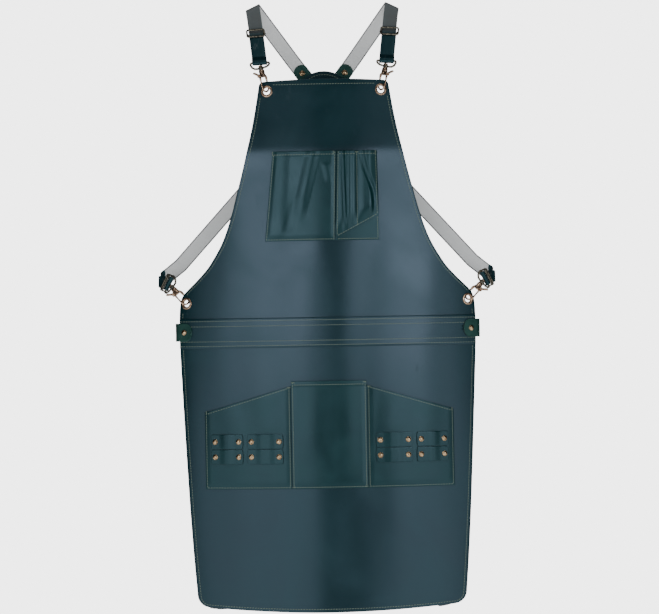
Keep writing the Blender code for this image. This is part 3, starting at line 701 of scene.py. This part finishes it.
skirtPiece = stands(leatherSheet("skirt_leather", skirtPlace, 130, skirt["rows"], apron["leather"],
                                 ("panel", "flesh", "edge")), "skirt_panel")
bandPiece = stands(patchSheet("waistband_leather", bandPlace, 120, 14, "panel"), "waistband")
skirtStitches = stitching("skirt_stitching", [(panelFront, skirtSeam())])
bandStitches = stitching("waistband_stitching", [
    (bandFront, [(-band["half"] + 0.001, height), (band["half"] - 0.001, height)])
    for height in band["rows"]])
print("skirt and waistband made")


# Chest and pen pockets

chest = {
    "low": 0.6355,
    "high": 0.7886,
    "left": (-0.104, -0.088),          # x at the bottom and at the top
    "divider": (0.015, 0.019),
    "right": (0.091, 0.0875),
    "penLow": (0.641, 0.677),          # height at its inner and outer edge
    "room": 0.0012,
    "hem": (0.0075, 0.0006),           # width and how much thicker
    "hemRow": 0.7826,
    "inset": 0.0026,         # edge to stitching
    "trim": 0.0034,          # the same at the pen pocket's sides, and along its other rows
    "rowTrim": 0.004,
    "penFrom": (0.645, 0.660, 0.680),            # where its three upright rows start
    "backCorner": (0.0030, 0.676),               # trim and height of the backing's outer row
    "tacks": ((-0.0875, 0.7850), (0.0145, 0.7850)),
    "penTacks": (((0.0530, 0.7855), (1, 0), 0.005), ((0.0840, 0.7850), (0, 1), 0.006)),
    # crests: top x, top height, bottom x, bottom height, half width, how high
    "folds": ((-0.018, 0.795, -0.046, 0.680, 0.015, 0.0023), (-0.072, 0.79, -0.082, 0.64, 0.016, 0.0013),
              (0.002, 0.765, 0.008, 0.735, 0.010, 0.0008), (-0.050, 0.70, -0.064, 0.65, 0.014, -0.0008)),
    "penRoom": 0.0052,
}


def chestShare(height):
    return (height - chest["low"]) / (chest["high"] - chest["low"])


def edgeX(edge, height):     # x of the left edge, the divider or the right edge
    return mix(*chest[edge], chestShare(height))


def seamRise(x, height, left, right, low, bend=0.009):
    return rise(x - left, bend) * rise(right - x, bend) * rise(height - low, bend * 1.3)


def foldsAt(folds, x, height):
    total = 0.0
    for topX, topHeight, lowX, lowHeight, width, size in folds:
        share = (topHeight - height) / (topHeight - lowHeight)
        if -0.2 < share < 1.2:
            fade = rise(share + 0.2, 0.3) * rise(1.2 - share, 0.5)
            total += size * fade * bump(x - mix(topX, lowX, share), width)
    return total


def hemRise(below, hem):
    return hem[1] * (1 - rise(below - hem[0], 0.0012))


def chestDepth(x, height):
    free = seamRise(x, height, edgeX("left", height), edgeX("divider", height), chest["low"])
    return (seamDepth + free * (chest["room"] + foldsAt(chest["folds"], x, height))
            + hemRise(chest["high"] - height, chest["hem"]))


def penDepth(x, height):
    left, right = edgeX("divider", height), edgeX("right", height)
    u = min(max((x - left) / (right - left), 0.0), 1.0)
    low = mix(*chest["penLow"], u)
    v = (height - low) / (chest["high"] - low)
    arch = abs(math.sin(2 * math.pi * u)) ** 0.8 * rise(v, 0.22)
    pleats = (-0.0032 * bump(u - mix(0.22, 0.15, v), 0.075) - 0.0013 * bump(u - 0.36, 0.08)
              - 0.0030 * bump(u - mix(0.90, 0.62, rise(v - 0.25, 0.75)), 0.09)
              + 0.0008 * bump(u - 0.80, 0.11))
    return (seamDepth + apron["gap"] + apron["patch"]
            + arch * (chest["penRoom"] + pleats) + hemRise(chest["high"] - height, chest["hem"]))


chestFront, penFront, penBackFront = layer(chestDepth), layer(penDepth), layer(lambda x, height: seamDepth)


def penX(u, height, trim=0.0):
    return mix(edgeX("divider", height) + trim, edgeX("right", height) - trim, u)


def chestPlace(u, v):
    height = mix(chest["low"], chest["high"], v)
    return chestFront(mix(edgeX("left", height), edgeX("divider", height), u), height)


def penBackPlace(u, v):
    height = mix(chest["low"], chest["high"] - 0.001, v)
    return penBackFront(penX(u, height, 0.0008), height)


def penPlace(u, v):
    height = mix(mix(*chest["penLow"], u), chest["high"] - 0.0005, v)
    return penFront(penX(u, height, 0.0004), height)


def chestRows():
    inset, row, low, high = chest["inset"], chest["hemRow"], chest["low"], chest["high"]
    left = [(edgeX("left", height) + inset, height) for height in (row, low + inset)]
    divider = [(edgeX("divider", height) - 0.0022, height) for height in (low + inset, high - 0.001)]
    return [(chestFront, left + divider),
            (chestFront, [left[0], (edgeX("divider", row) - chest["rowTrim"], row)])]


def penRows():
    inset, row, trim = chest["inset"], chest["hemRow"], chest["rowTrim"]
    high, back, (edge, corner) = chest["high"] - 0.001, chest["low"] + inset, chest["backCorner"]

    columns = [[(penX(u, height, side), height) for height in (mix(low, high, step / 8) for step in range(9))]
               for u, side, low in zip((0.0, 0.5, 1.0), (chest["trim"], 0.0, chest["trim"]),
                                       chest["penFrom"])]
    lowEdge = [(u, mix(*chest["penLow"], u) + inset) for u in (step / 12 for step in range(13))]
    hem = [(step / 24, row) for step in range(25)]
    rows = columns + [[(penX(u, height, trim), height) for u, height in path] for path in (lowEdge, hem)]
    return [(penFront, path) for path in rows] + [
        (penBackFront, [(penX(0.0, back, trim), back), (penX(1.0, back, edge), back),
                        (penX(1.0, corner, edge), corner)])]


chestPiece = stands(patchSheet("chest_pocket_leather", chestPlace, 84, 96), "chest_pocket")
penBackPiece = stands(patchSheet("pen_pocket_back", penBackPlace, 30, 40), "pen_pocket_backing")
penPiece = stands(patchSheet("pen_pocket_leather", penPlace, 90, 84), "pen_pocket")
chestStitches = stitching("chest_pocket_stitching", chestRows(), [
    (chestFront, spot, (0, 1), 0.006) for spot in chest["tacks"]])
penStitches = stitching("pen_pocket_stitching", penRows(), [
    (penFront, *tack) for tack in chest["penTacks"]])
print("chest pockets made")


# Waist pockets

waist = {
    "low": 0.212,
    "centreHalf": 0.0642,
    "centreHigh": 0.396,
    "sideIn": 0.0650,
    "sideOut": 0.2120,
    "sideHigh": (0.388, 0.344),        # height at its inner and outer edge
    "room": 0.0009,
    "hem": (0.0080, 0.0005),
    "bend": 0.010,           # from a seam to where the leather stands free
    "centreTop": (0.395, 0.3896, 0.3935),        # the seam's ends, the row under them, the tacks
    "sideTacks": ((0.3435, (0, 1)), (0.3855, (1, 0))),     # outer and inner
    "tack": 0.005,
    "centreFolds": ((-0.024, 0.40, -0.034, 0.27, 0.026, 0.0006), (0.034, 0.39, 0.026, 0.24, 0.024, 0.0005)),
    "sideFolds": ((0.112, 0.375, 0.100, 0.30, 0.028, 0.0007), (0.172, 0.355, 0.150, 0.25, 0.028, 0.0006)),
}


def sideHigh(x):
    return mix(*waist["sideHigh"], (x - waist["sideIn"]) / (waist["sideOut"] - waist["sideIn"]))


def centreDepth(x, height):
    half = waist["centreHalf"]
    free = seamRise(x, height, -half, half, waist["low"], waist["bend"])
    return (seamDepth + free * (waist["room"] + foldsAt(waist["centreFolds"], x, height))
            + hemRise(waist["centreHigh"] - height, waist["hem"]))


def sideDepth(x, height):
    x = abs(x)
    free = seamRise(x, height, waist["sideIn"], waist["sideOut"], waist["low"], waist["bend"])
    return seamDepth + free * (waist["room"] + foldsAt(waist["sideFolds"], x, height))


centreFront, sideFront = layer(centreDepth), layer(sideDepth)


def centrePlace(u, v):
    return centreFront(mix(-waist["centreHalf"], waist["centreHalf"], u),
                       mix(waist["low"], waist["centreHigh"], v))


def sidePlace(side):
    def place(u, v):
        x = mix(waist["sideIn"], waist["sideOut"], u)
        return sideFront(side * x, mix(waist["low"], sideHigh(x), v))

    return place


def sideRows(side):
    inset, low = chest["inset"], waist["low"] + chest["inset"]
    inner, outer = waist["sideIn"] + inset, waist["sideOut"] - inset
    edge = [(inner, sideHigh(inner) - 0.001), (inner, low), (outer, low), (outer, sideHigh(outer) - 0.001)]
    top = [(inner + 0.002, sideHigh(inner) - 0.0034), (outer - 0.002, sideHigh(outer) - 0.0034)]
    return [(sideFront, [(side * x, height) for x, height in path]) for path in (edge, top)]


centrePiece = stands(patchSheet("waist_pocket_center_leather", centrePlace, 70, 100),
                     "waist_pocket_center")
half, low = waist["centreHalf"] - chest["inset"], waist["low"] + chest["inset"]
top, row, tacks = waist["centreTop"]
centreStitches = stitching("waist_pocket_center_stitching", [
    (centreFront, [(-half, top), (-half, low), (half, low), (half, top)]),
    (centreFront, [(-half + 0.002, row), (half - 0.002, row)])], [
    (centreFront, (side * x, height), (1, 0), waist["tack"])
    for x, height in ((half - 0.001, tacks), (half, low)) for side in sides.values()])
sidePieces = {}
for name, side in sides.items():
    node = "waist_pocket_" + name
    piece = stands(patchSheet(node + "_leather", sidePlace(side), 76, 90, side=side), node)
    sidePieces[name] = (piece, stitching(node + "_stitching", sideRows(side), [
        (sideFront, (side * x, height), way, waist["tack"]) for x, (height, way)
        in zip((waist["sideOut"] - 0.003, waist["sideIn"] + 0.003), waist["sideTacks"])]))
print("waist pockets made")


# Tool loops and their rivets

loops = {
    "width": 0.0250,
    "arch": 0.0014,
    "end": 0.0070,                     # strap beyond its rivet
    "rows": {"upper": 0.2935, "lower": 0.2675},
    "rivets": {"inner": (0.0855, 0.1325), "outer": (0.1540, 0.1940)},
}
rivetSize = {
    "head": 0.0048,
    "rise": 0.0024,
    "cut": 0.30,             # where the ball is cut for the dome, in radii
    "rim": 0.0004,           # how far the dome stands above the leather
    "shank": 0.0014,
    "tail": 0.0030,
    "tailAt": 0.0054,
}


def loopDepth(column):
    first, last = loops["rivets"][column]

    def depthOf(x, height):
        x = abs(x)
        free = rise(x - first - 0.0055, 0.013) * rise(last - 0.0055 - x, 0.013)
        return sideDepth(x, height) + apron["gap"] + apron["patch"] + loops["arch"] * free

    return depthOf


def loopPlace(side, row, column):
    first, last = loops["rivets"][column]
    front = layer(loopDepth(column))

    def place(u, v):
        ends = 0.0016 * (2 * v - 1) ** 4 * (1 - rise(min(u, 1 - u), 0.05))
        x = mix(first - loops["end"] + ends, last + loops["end"] - ends, u)
        return front(side * x, loops["rows"][row] + (v - 0.5) * loops["width"])

    return place


def makeRivet():             # a domed head with a thin rim, on its shank, with its tail behind
    head, cut, rim = rivetSize["head"], rivetSize["head"] * rivetSize["cut"], rivetSize["rim"]
    dome = added(bpy.ops.mesh.primitive_uv_sphere_add, segments=28, ring_count=16, radius=head)
    editAll(dome)
    bpy.ops.mesh.bisect(plane_co=(0, 0, cut), plane_no=(0, 0, 1), clear_inner=True, use_fill=True)
    bpy.ops.mesh.select_all(action="SELECT")
    bpy.ops.transform.translate(value=(0, 0, -cut))
    bpy.ops.transform.resize(value=(0.98, 0.98, (rivetSize["rise"] - rim) / (head - cut)))
    bpy.ops.transform.translate(value=(0, 0, rim))
    bpy.ops.object.mode_set(mode="OBJECT")
    pieces = [dome]
    # corners, radius, thickness, middle height, rounding
    for corners, radius, depth, height, edge in ((28, head, 0.0006, 0.0003, 0.00022),
                                                 (12, rivetSize["shank"], 0.0060, -0.0030, 0),
                                                 (20, rivetSize["tail"], 0.0007,
                                                  -rivetSize["tailAt"], 0.0002)):
        pieces.append(added(bpy.ops.mesh.primitive_cylinder_add, vertices=corners, radius=radius,
                            depth=depth, location=(0, 0, height)))
        if edge:
            bevelled(pieces[-1], edge)
    rivet = joined("rivet", pieces)
    give(rivet, "brass")
    return rivet


rivetShape = makeRivet()


def setRivets(name, places, node, tails=rivetSize["tailAt"]):
    pieces = []
    for index, place in enumerate(places):
        piece = copyOf(rivetShape, f"{name}_{index}", place)
        for corner in piece.data.vertices:
            if corner.co.z < 0:
                corner.co.z *= tails / rivetSize["tailAt"]
        placeApplied(piece)
        pieces.append(piece)
    return stands(settle(joined(name, pieces), 35), node, slot="brass")


loopPieces = []
for name, side in sides.items():
    for row in loops["rows"]:
        places = []
        for column, spots in loops["rivets"].items():
            node = f"tool_loop_{name}_{row}_{column}"
            loopPieces.append(stands(patchSheet(node + "_leather", loopPlace(side, row, column), 48, 16,
                                                side=side), node))
            front = layer(loopDepth(column))
            places += [frameOn(front, side * x, loops["rows"][row], 0.0001) for x in spots]
        setRivets(f"loop_rivet_heads_{name}_{row}", places, f"loop_rivets_{name}_{row}")
print("tool loops made")


# Grommets

grommet = {
    "outer": 0.0102,
    "hole": 0.0060,
    "wall": 0.0006,
    "flat": 0.42,            # how much lower than round the rings are
    "front": (0.0006, 1.0),                      # height of the ring, and its fullness
    "back": (-apron["leather"] - 0.0008, 0.82),
}


def makeGrommet():           # a rolled front ring, its sleeve and a flatter washer behind
    middle = (grommet["outer"] + grommet["hole"]) / 2
    reach = (grommet["outer"] - grommet["hole"]) / 2
    pieces = []
    for height, size in (grommet["front"], grommet["back"]):
        ring = added(bpy.ops.mesh.primitive_torus_add, major_radius=middle, minor_radius=reach,
                     major_segments=56, minor_segments=16)
        editAll(ring)
        bpy.ops.transform.resize(value=(1, 1, grommet["flat"] * size))
        bpy.ops.object.mode_set(mode="OBJECT")
        ring.location.z = height
        pieces.append(ring)
    sleeve = added(bpy.ops.mesh.primitive_cylinder_add, vertices=56, depth=0.0032,
                   radius=grommet["hole"] + grommet["wall"], end_fill_type="NOTHING",
                   location=(0, 0, -0.0010))
    wall = sleeve.modifiers.new("wall", "SOLIDIFY")
    wall.thickness, wall.offset = grommet["wall"], -1
    applyAll(sleeve)
    ring = joined("grommet", pieces + [sleeve])
    placeApplied(ring)
    give(ring, "copper")
    return ring


grommetShape = makeGrommet()
for place, (x, height) in bib["grommets"].items():
    for name, side in sides.items():
        piece = copyOf(grommetShape, f"{place}_eyelet_{name}", frameOn(panelFront, side * x, height))
        stands(settle(piece), f"{place}_grommet_{name}", slot="brass")
bpy.data.objects.remove(grommetShape, do_unlink=True)
print("grommets set")


# Side tabs

sideTab = {"height": 0.031, "inner": 0.2310, "outer": 0.2560, "end": 0.0120, "tail": 0.0104}


def rounded(corners, turn=math.radians(7)):
    samples = [(corners[0][0], corners[0][1])]
    for before, corner, after in zip(corners, corners[1:], corners[2:]):
        point, width, radius = corner
        came, goes = (point - before[0]).normalized(), (after[0] - point).normalized()
        angle = came.angle(goes)
        reach = radius * math.tan(angle / 2)
        start = point - came * reach
        centre = start + (goes - came * goes.dot(came)).normalized() * radius
        axis = came.cross(goes).normalized()
        steps = max(2, round(angle / turn))
        for step in range(steps + 1):
            spin = Matrix.Rotation(angle * step / steps, 3, axis)
            samples.append((centre + spin @ (start - centre), width))
    samples.append((corners[-1][0], corners[-1][1]))
    return samples


def ribbon(name, samples, width, thick, faces, pitch=0.004, across=16, flip=False, ends=(0, 0)):
    rings = []
    for (point, level), (target, nextLevel) in zip(samples, samples[1:]):
        pieces = max(1, round((target - point).length / pitch))
        for piece in range(pieces):
            share = piece / pieces
            rings.append((point.lerp(target, share), level.lerp(nextLevel, share).normalized()))
    rings.append(samples[-1])
    rows = len(rings) - 1
    travelled = [0.0]
    for before, after in zip(rings, rings[1:]):
        travelled.append(travelled[-1] + (after[0] - before[0]).length)
    total = travelled[-1]

    def place(u, v):
        row = round(v * rows)
        point, level = rings[row]
        along = (rings[min(row + 1, rows)][0] - rings[max(row - 1, 0)][0]).normalized()
        slant = along.cross(level.normalized()).length
        out = along.cross(level).normalized()
        narrow = 1.0
        for reach, gone in ((ends[0], travelled[row]), (ends[1], total - travelled[row])):
            if reach and gone < reach:
                share = 1 - gone / reach
                narrow = min(narrow, max(math.sqrt(max(1 - share * share, 0.0)), 0.12))
        off = abs(2 * u - 1)
        groove = -0.00020 * bump(off - 0.84, 0.14)
        return point + level.normalized() * width * narrow / slant * (u - 0.5) + out * groove

    return leatherSheet(name, place, across, rows, thick, faces, side=-1 if flip else 1,
                        offset=0.0, bevel=0.0005, mapped=(width, total), even=True)


def mirrored(vector, side):
    return Vector((vector.x * side, vector.y, vector.z))


def makeSideTab(name, side):
    up, (x, height), outer = Vector((0, 0, 1)), bib["tabRivet"], sideTab["outer"]
    front = seamDepth + apron["gap"] + apron["patch"] / 2
    back = -apron["gap"] - apron["patch"] / 2
    bends = ((sideTab["inner"], front, 0.0), (x, front, 0.05), (outer, front + 0.0004, 0.010),
             (outer + 0.0065, (front + back) / 2, 0.0024), (outer, back - 0.0004, 0.010),
             (x, back, 0.05), (sideTab["inner"], back, 0.0))
    samples = rounded([(onBody(at, height, depth), up, radius) for at, depth, radius in bends])
    piece = ribbon("side_tab_" + name + "_leather", [(mirrored(point, side), level)
                                                     for point, level in samples],
                   sideTab["height"], apron["patch"], ("tab", "flesh", "edge"), pitch=0.0012,
                   across=24, flip=side > 0, ends=(sideTab["end"], sideTab["end"]))
    stands(piece, "side_tab_" + name, slot="leather_tab")
    tabFront = layer(lambda x, height: seamDepth + apron["gap"] + apron["patch"])
    setRivets("tab_rivet_head_" + name, [frameOn(tabFront, side * x, height, 0.0001)],
              "tab_rivet_" + name, sideTab["tail"])


for name, side in sides.items():
    makeSideTab(name, side)
print("side tabs made")


# Harness: where each clip lies, and the straps' routes

aims = {"shoulder": Vector((0.595, 0.0, 0.804)), "waist": Vector((0.673, 0.0, -0.740))}
fold = {"place": Vector((0.1200, 0.0, 0.0)), "width": Vector((0.900, 0.0, -0.430)), "half": 0.0045}
turns = {                    # where each strap bends: point, the strap's width way, radius
    "shoulder": [(fold["place"] + Vector((-0.001, fold["half"], -harness["thick"] / 2)),
                  fold["width"], fold["half"] * 0.8),
                 (fold["place"] + Vector((0, -fold["half"], -harness["thick"] / 2)),
                  fold["width"], fold["half"] * 0.8)],
    "waist": [(Vector((0.2540, 0.0790, -0.4410)), Vector((0.740, 0.0, 0.673)), 0.020),
              (Vector((0.2895, 0.0870, -0.4690)), Vector((0.300, 0.1, 0.950)), 0.0090)],
}


def clipAt(spot, lean, barTurn, runFrom):      # its bar, its axis, and how the strap leaves it
    x, height = bib["grommets"][spot]
    eye, out = onBody(x, height, apron["leather"] / 2, hung=False), facing(x)
    level = Vector((-out.y, out.x, 0.0))
    up = (level * math.sin(lean) + Vector((0, 0, 1)) * math.cos(lean)).normalized()
    side = up.cross(out).normalized()
    side = -side if side.x < 0 else side
    bar = eye + up * harness["clipLength"]
    axis = Matrix.Rotation(barTurn, 3, out) @ side
    run = runFrom - bar
    face = axis.cross(run).normalized()
    face = -face if face.dot(out) < 0 else face
    return {"bar": bar, "axis": axis, "run": run.normalized(), "face": face}


def strapLine(clip, along, lift=0.0):
    return clip["bar"] - clip["face"] * harness["barLoop"] + clip["run"] * along + clip["face"] * lift


def strapEnd(clip, end):
    axis, loop, step = clip["axis"], harness["barLoop"], harness["layerStep"]
    return [(strapLine(clip, -loop), axis, loop * 0.96),
            (strapLine(clip, -loop, 2 * loop), axis, loop * 0.96),
            (strapLine(clip, 0.003, 2 * loop), axis, 0.006),
            (strapLine(clip, 0.011, step), axis, 0.008), (strapLine(clip, end, step), axis, 0.0)]


def harnessPoint(aim, distance, y=None):
    y = harness["patchY"] if y is None else y
    return Vector((0, y, harness["patchHeight"] - apron["foldHeight"])) + aim * distance


def route(place, clip):
    aim, (last, radius) = aims[place], harness["straight"][place]
    flat = Vector((aim.z, 0.0, -aim.x)) * math.copysign(1, aim.z)
    corners = [(harnessPoint(aim, harness["start"]), flat, 0.0),
               (harnessPoint(aim, harness["firstBend"]), flat, 0.040),
               *turns[place], (strapLine(clip, last), clip["axis"], radius)]
    return rounded(corners + strapEnd(clip, harness["doubled"][place]))


def faceEnds(piece, clip, side, end):    # the doubled end is faced with leather on both sides
    bar, run, face = (mirrored(clip[key], side) for key in ("bar", "run", "face"))
    for polygon in piece.data.polygons:
        off = polygon.center - bar
        along, lift = off.dot(run), off.dot(face) + harness["barLoop"]
        doubled = -0.01 < along < end + 0.004 and lift > 0.0006
        if polygon.material_index == 1 and (doubled or abs(polygon.center.x) > harness["turn"]):
            polygon.material_index = 0


clips = {"shoulder": clipAt("bib", math.radians(12.5), math.radians(10),
                            fold["place"] + Vector((0, -fold["half"], 0))),
         "waist": clipAt("waist", math.radians(46), math.radians(-15), Vector((0.2840, 0.0690, -0.4690)))}

for place, clip in clips.items():
    for name, side in sides.items():
        samples = [(mirrored(point, side), mirrored(level, side)) for point, level in route(place, clip)]
        piece = ribbon(f"{place}_strap_{name}_leather", samples, harness["width"], harness["thick"],
                       ("strap", "lining", "strapEdge"), flip=(side > 0) == (place == "shoulder"))
        faceEnds(piece, clip, side, harness["doubled"][place])
        stands(piece, f"{place}_strap_{name}", slot="leather_strap")
print("straps made")


# Back patch and its tongues

def patchFrame(y):
    return Matrix.Translation(harnessPoint(aims["waist"], 0.0, y)) @ Matrix.Rotation(math.pi / 2, 4, "X")


def makeDisc(name, low, out):          # a round of leather, slightly domed inside its stitching
    thick = apron["leather"]
    piece = added(bpy.ops.mesh.primitive_cylinder_add, vertices=96, radius=harness["patchRadius"],
                  depth=thick, location=(0, 0, low + thick / 2))
    piece.name = piece.data.name = name
    placeApplied(piece)
    for ring, lift in harness["discRings"]:
        bpy.ops.object.mode_set(mode="EDIT")
        bpy.ops.mesh.select_all(action="DESELECT")
        bpy.ops.object.mode_set(mode="OBJECT")
        best = max(face.center.z * out for face in piece.data.polygons if face.normal.z * out > 0.9)
        for face in piece.data.polygons:
            face.select = (face.normal.z * out > 0.9 and len(face.vertices) > 8
                           and face.center.z * out > best - 1e-5)
        bpy.ops.object.mode_set(mode="EDIT")
        bpy.ops.mesh.inset(thickness=ring)
        bpy.ops.transform.translate(value=(0, 0, lift * out))
        bpy.ops.object.mode_set(mode="OBJECT")
    bevelled(piece, 0.00045, 3)
    piece.matrix_world = patchFrame(harness["patchY"])
    give(piece, "panel")
    return settle(piece)


def makePatch():
    half, gap, leather = harness["thick"] / 2, apron["layerGap"], apron["leather"]
    centre, radius = harnessPoint(aims["waist"], 0.0), harness["patchSeam"]
    ring = [(radius * math.cos(math.radians(3 * step)), radius * math.sin(math.radians(3 * step)))
            for step in range(121)]
    for name, low, out in (("inner", half + apron["patch"] + 2 * gap, 1),
                           ("outer", -(half + gap + leather), -1)):
        stands(makeDisc(f"back_patch_{name}_leather", low, out), "back_patch_" + name)
        face = low + leather if out > 0 else low

        def surface(x, height, face=face, out=out):
            return centre + Vector((x * out, -face, height))

        stitching(f"back_patch_{name}_stitching", [(surface, ring)])


def makeTongue(name, way):
    flat = Vector((way.z, 0.0, -way.x))
    half, gap = harness["thick"] / 2, apron["layerGap"]
    lift = Vector((0, -(half + gap + apron["patch"] / 2), 0))
    ends = [(harnessPoint(way, distance) + lift, flat) for distance in harness["tab"]]
    stands(ribbon(f"strap_tab_{name}_leather", ends, harness["width"] + 0.001, apron["patch"],
                  ("tab", "tab", "edge"), pitch=0.0012, across=20, ends=(0, harness["tabEnd"])),
           "strap_tab_" + name, slot="leather_tab")
    head = half + apron["patch"] + gap + 0.0001
    spot = harnessPoint(way, harness["tabRivet"]) + Vector((0, -head, 0))
    setRivets("strap_rivet_head_" + name, [frameAt(spot, Vector((0, -1, 0)), Vector((0, 0, 1)))],
              "strap_rivet_" + name, harness["tabTail"])


makePatch()
for place, aim in aims.items():
    for name, side in sides.items():
        makeTongue(f"{place}_{name}", mirrored(aim, side))
print("back patch made")


# Sliders, D-loops, hooks and gates

castings = {        # how finely each is cast, how much swelled by the eyelet and away, finish
    "slider": (0.00040, (0.00028, 0.00028), "darkBrass"),
    "d_loop": (0.00040, (0.00050, 0.00050), "darkBrass"),
    "hook": (0.00036, (0.00001, 0.00075), "copper"),
    "gate": (0.00034, (0.00005, 0.00065), "copper"),
}
eyeRoom = {"slim": 0.0180, "run": 0.006}       # slim this near the eyelet, full this much further


def swell(piece, eyelet, near, far):   # fattened away from the eyelet, slim where it goes through
    piece.vertex_groups.new(name="away")
    for corner in piece.data.vertices:
        away = ((corner.co - eyelet).length - eyeRoom["slim"]) / eyeRoom["run"]
        piece.vertex_groups["away"].add([corner.index], min(max(away, near / far), 1.0), "REPLACE")
    swelled = piece.modifiers.new("swelled", "DISPLACE")
    swelled.strength, swelled.mid_level, swelled.vertex_group = far, 0.0, "away"


def castCopy(node, eyelet, grain, swells, finish):
    piece = bpy.data.objects.new(node + "_casting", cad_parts[node].data.copy())
    bpy.context.scene.collection.objects.link(piece)
    editAll(piece)
    bpy.ops.mesh.remove_doubles(threshold=0.00001)
    bpy.ops.object.mode_set(mode="OBJECT")
    skin = piece.modifiers.new("skin", "REMESH")
    skin.mode, skin.voxel_size = "VOXEL", grain
    rub = piece.modifiers.new("rubbed", "SMOOTH")
    rub.factor, rub.iterations = 0.5, 3
    applyAll(piece)
    swell(piece, eyelet, *swells)
    applyAll(piece)
    give(piece, finish)
    return settle(piece, 60)


for place in clips:
    x, height = bib["grommets"]["bib" if place == "shoulder" else "waist"]
    for kind, settings in castings.items():
        for name, side in sides.items():
            body = f"{place}_{kind}_{name}"
            stands(castCopy(body, panelFront(side * x, height), *settings), body, body=body, slot="brass")
bpy.data.objects.remove(rivetShape, do_unlink=True)
print("hardware cast")


# What the sheets were cut to

cuts = {
    "bib": (bibPiece, (0.508, 0.442), 0.150, [bibStitches]),
    "skirt": (skirtPiece, (0.508, 0.470), 0.229, [skirtStitches]),
    "band": (bandPiece, (0.506, 0.051), None, [bandStitches]),
    "chest": (chestPiece, (0.122, 0.160), None, [chestStitches]),
    "penBack": (penBackPiece, (0.076, 0.152), None, []),
    "pen": (penPiece, (0.092, 0.155), 0.0115, [penStitches]),
    "centre": (centrePiece, (0.130, 0.192), None, [centreStitches]),
    "left": (sidePieces["left"][0], (0.149, 0.176), 0.0228, [sidePieces["left"][1]]),
    "right": (sidePieces["right"][0], (0.149, 0.176), 0.0228, [sidePieces["right"][1]]),
}
for piece, flat, area, others in cuts.values():
    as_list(others)
for piece in loopPieces:
    wide = 0.056 if "outer" in piece.name else 0.063
    sidePieces["left" if "left" in piece.name else "right"][0]


# Floor and light

studio = {
    "floor": (-1.300, 2.2, -1.5, 1.2),         # height, half width, nearest and furthest y
    "leftHigh": ((-0.232, -2.25), (-1.35, -1.543), (-0.17, -0.58), 8.9),   # ends, heights, strength
    "leftLow": ((-0.232, -2.25), (-1.90, -1.20), (-0.58, -1.45), 8.0),
    "rightHigh": ((0.60, -2.25), (1.55, -1.456), (-0.17, -0.58), 9.9),
    "rightLow": ((0.85, -2.25), (2.20, -1.10), (-0.58, -1.45), 7.4),
    "key": ((0.0, -1.60, 1.55), 1.8, 0.8, 10.0),    # place, width, depth, strength
    "rear": ((0.0, 2.2, -0.20), 2.4, 1.4, 30.0),
    "tint": (0.96, 0.98, 1.0),
    "backdrop": 4.2,
    "around": 0.45,
    "behindCamera": 0.012,
    "floorGlow": 0.35,
}


def makeFloor():
    height, half, near, far = studio["floor"]
    floor = added(bpy.ops.mesh.primitive_grid_add, x_subdivisions=2, y_subdivisions=2, size=1)
    floor.name = "floor"
    floor.scale = (2 * half, far - near, 1)
    floor.location = (0, (near + far) / 2, height)
    placeApplied(floor)
    finish, tree = newFinish("paleFloor", {"Roughness": 0.8, "Emission Color": (1, 1, 1, 1),
                                           "Emission Strength": studio["floorGlow"]})
    clouds = noise(tree, objectVector(tree), 3.0)
    finished(finish, blendColour(tree, clouds, (0.90, 0.90, 0.89, 1), (0.95, 0.95, 0.94, 1)))
    floor.data.materials.append(finish)


def areaLight(name, place, axis, across, size, strength, tint=(1, 1, 1)):
    lamp = added(bpy.ops.object.light_add, type="AREA")
    lamp.name = lamp.data.name = name
    lamp.data.shape = "RECTANGLE"
    lamp.data.size, lamp.data.size_y = size
    lamp.data.energy = strength
    lamp.data.color = tint
    lamp.matrix_world = frameAt(place, axis, across)     # it shines against its Z axis
    lamp.visible_camera = False


def softbox(name, start, end, heights, strength):        # an upright panel of light
    a, b = Vector((*start, 0)), Vector((*end, 0))
    high, low = heights
    normal = (b - a).cross(Vector((0, 0, 1)))
    normal = -normal if normal.y > 0 else normal
    areaLight(name + "Softbox", (a + b) / 2 + Vector((0, 0, (low + high) / 2)), normal,
              (b - a).normalized(), ((b - a).length, high - low), strength, studio["tint"])


makeFloor()
for name in ("leftHigh", "leftLow", "rightHigh", "rightLow"):
    softbox(name, *studio[name])
for name, axis in (("key", Vector((0, -1.6, 2.1))), ("rear", Vector((0, 1, 0)))):
    place, width, depth, strength = studio[name]
    areaLight(name + "Light", Vector(place), axis, Vector((1, 0, 0)), (width, depth), strength)

world = bpy.data.worlds.new("paleRoom")
bpy.context.scene.world = world
world.use_nodes = True
tree = world.node_tree
backdrop = tree.nodes["Background"]
path = addNode(tree, "ShaderNodeLightPath")
seen = math2(tree, "MULTIPLY", path.outputs["Is Camera Ray"], studio["backdrop"])
around = math2(tree, "MULTIPLY", path.outputs["Is Diffuse Ray"], studio["around"])
tree.links.new(math2(tree, "ADD", seen, math2(tree, "ADD", around, studio["behindCamera"])),
               backdrop.inputs["Strength"])
backdrop.inputs["Color"].default_value = (1, 1, 1, 1)
print("studio ready")
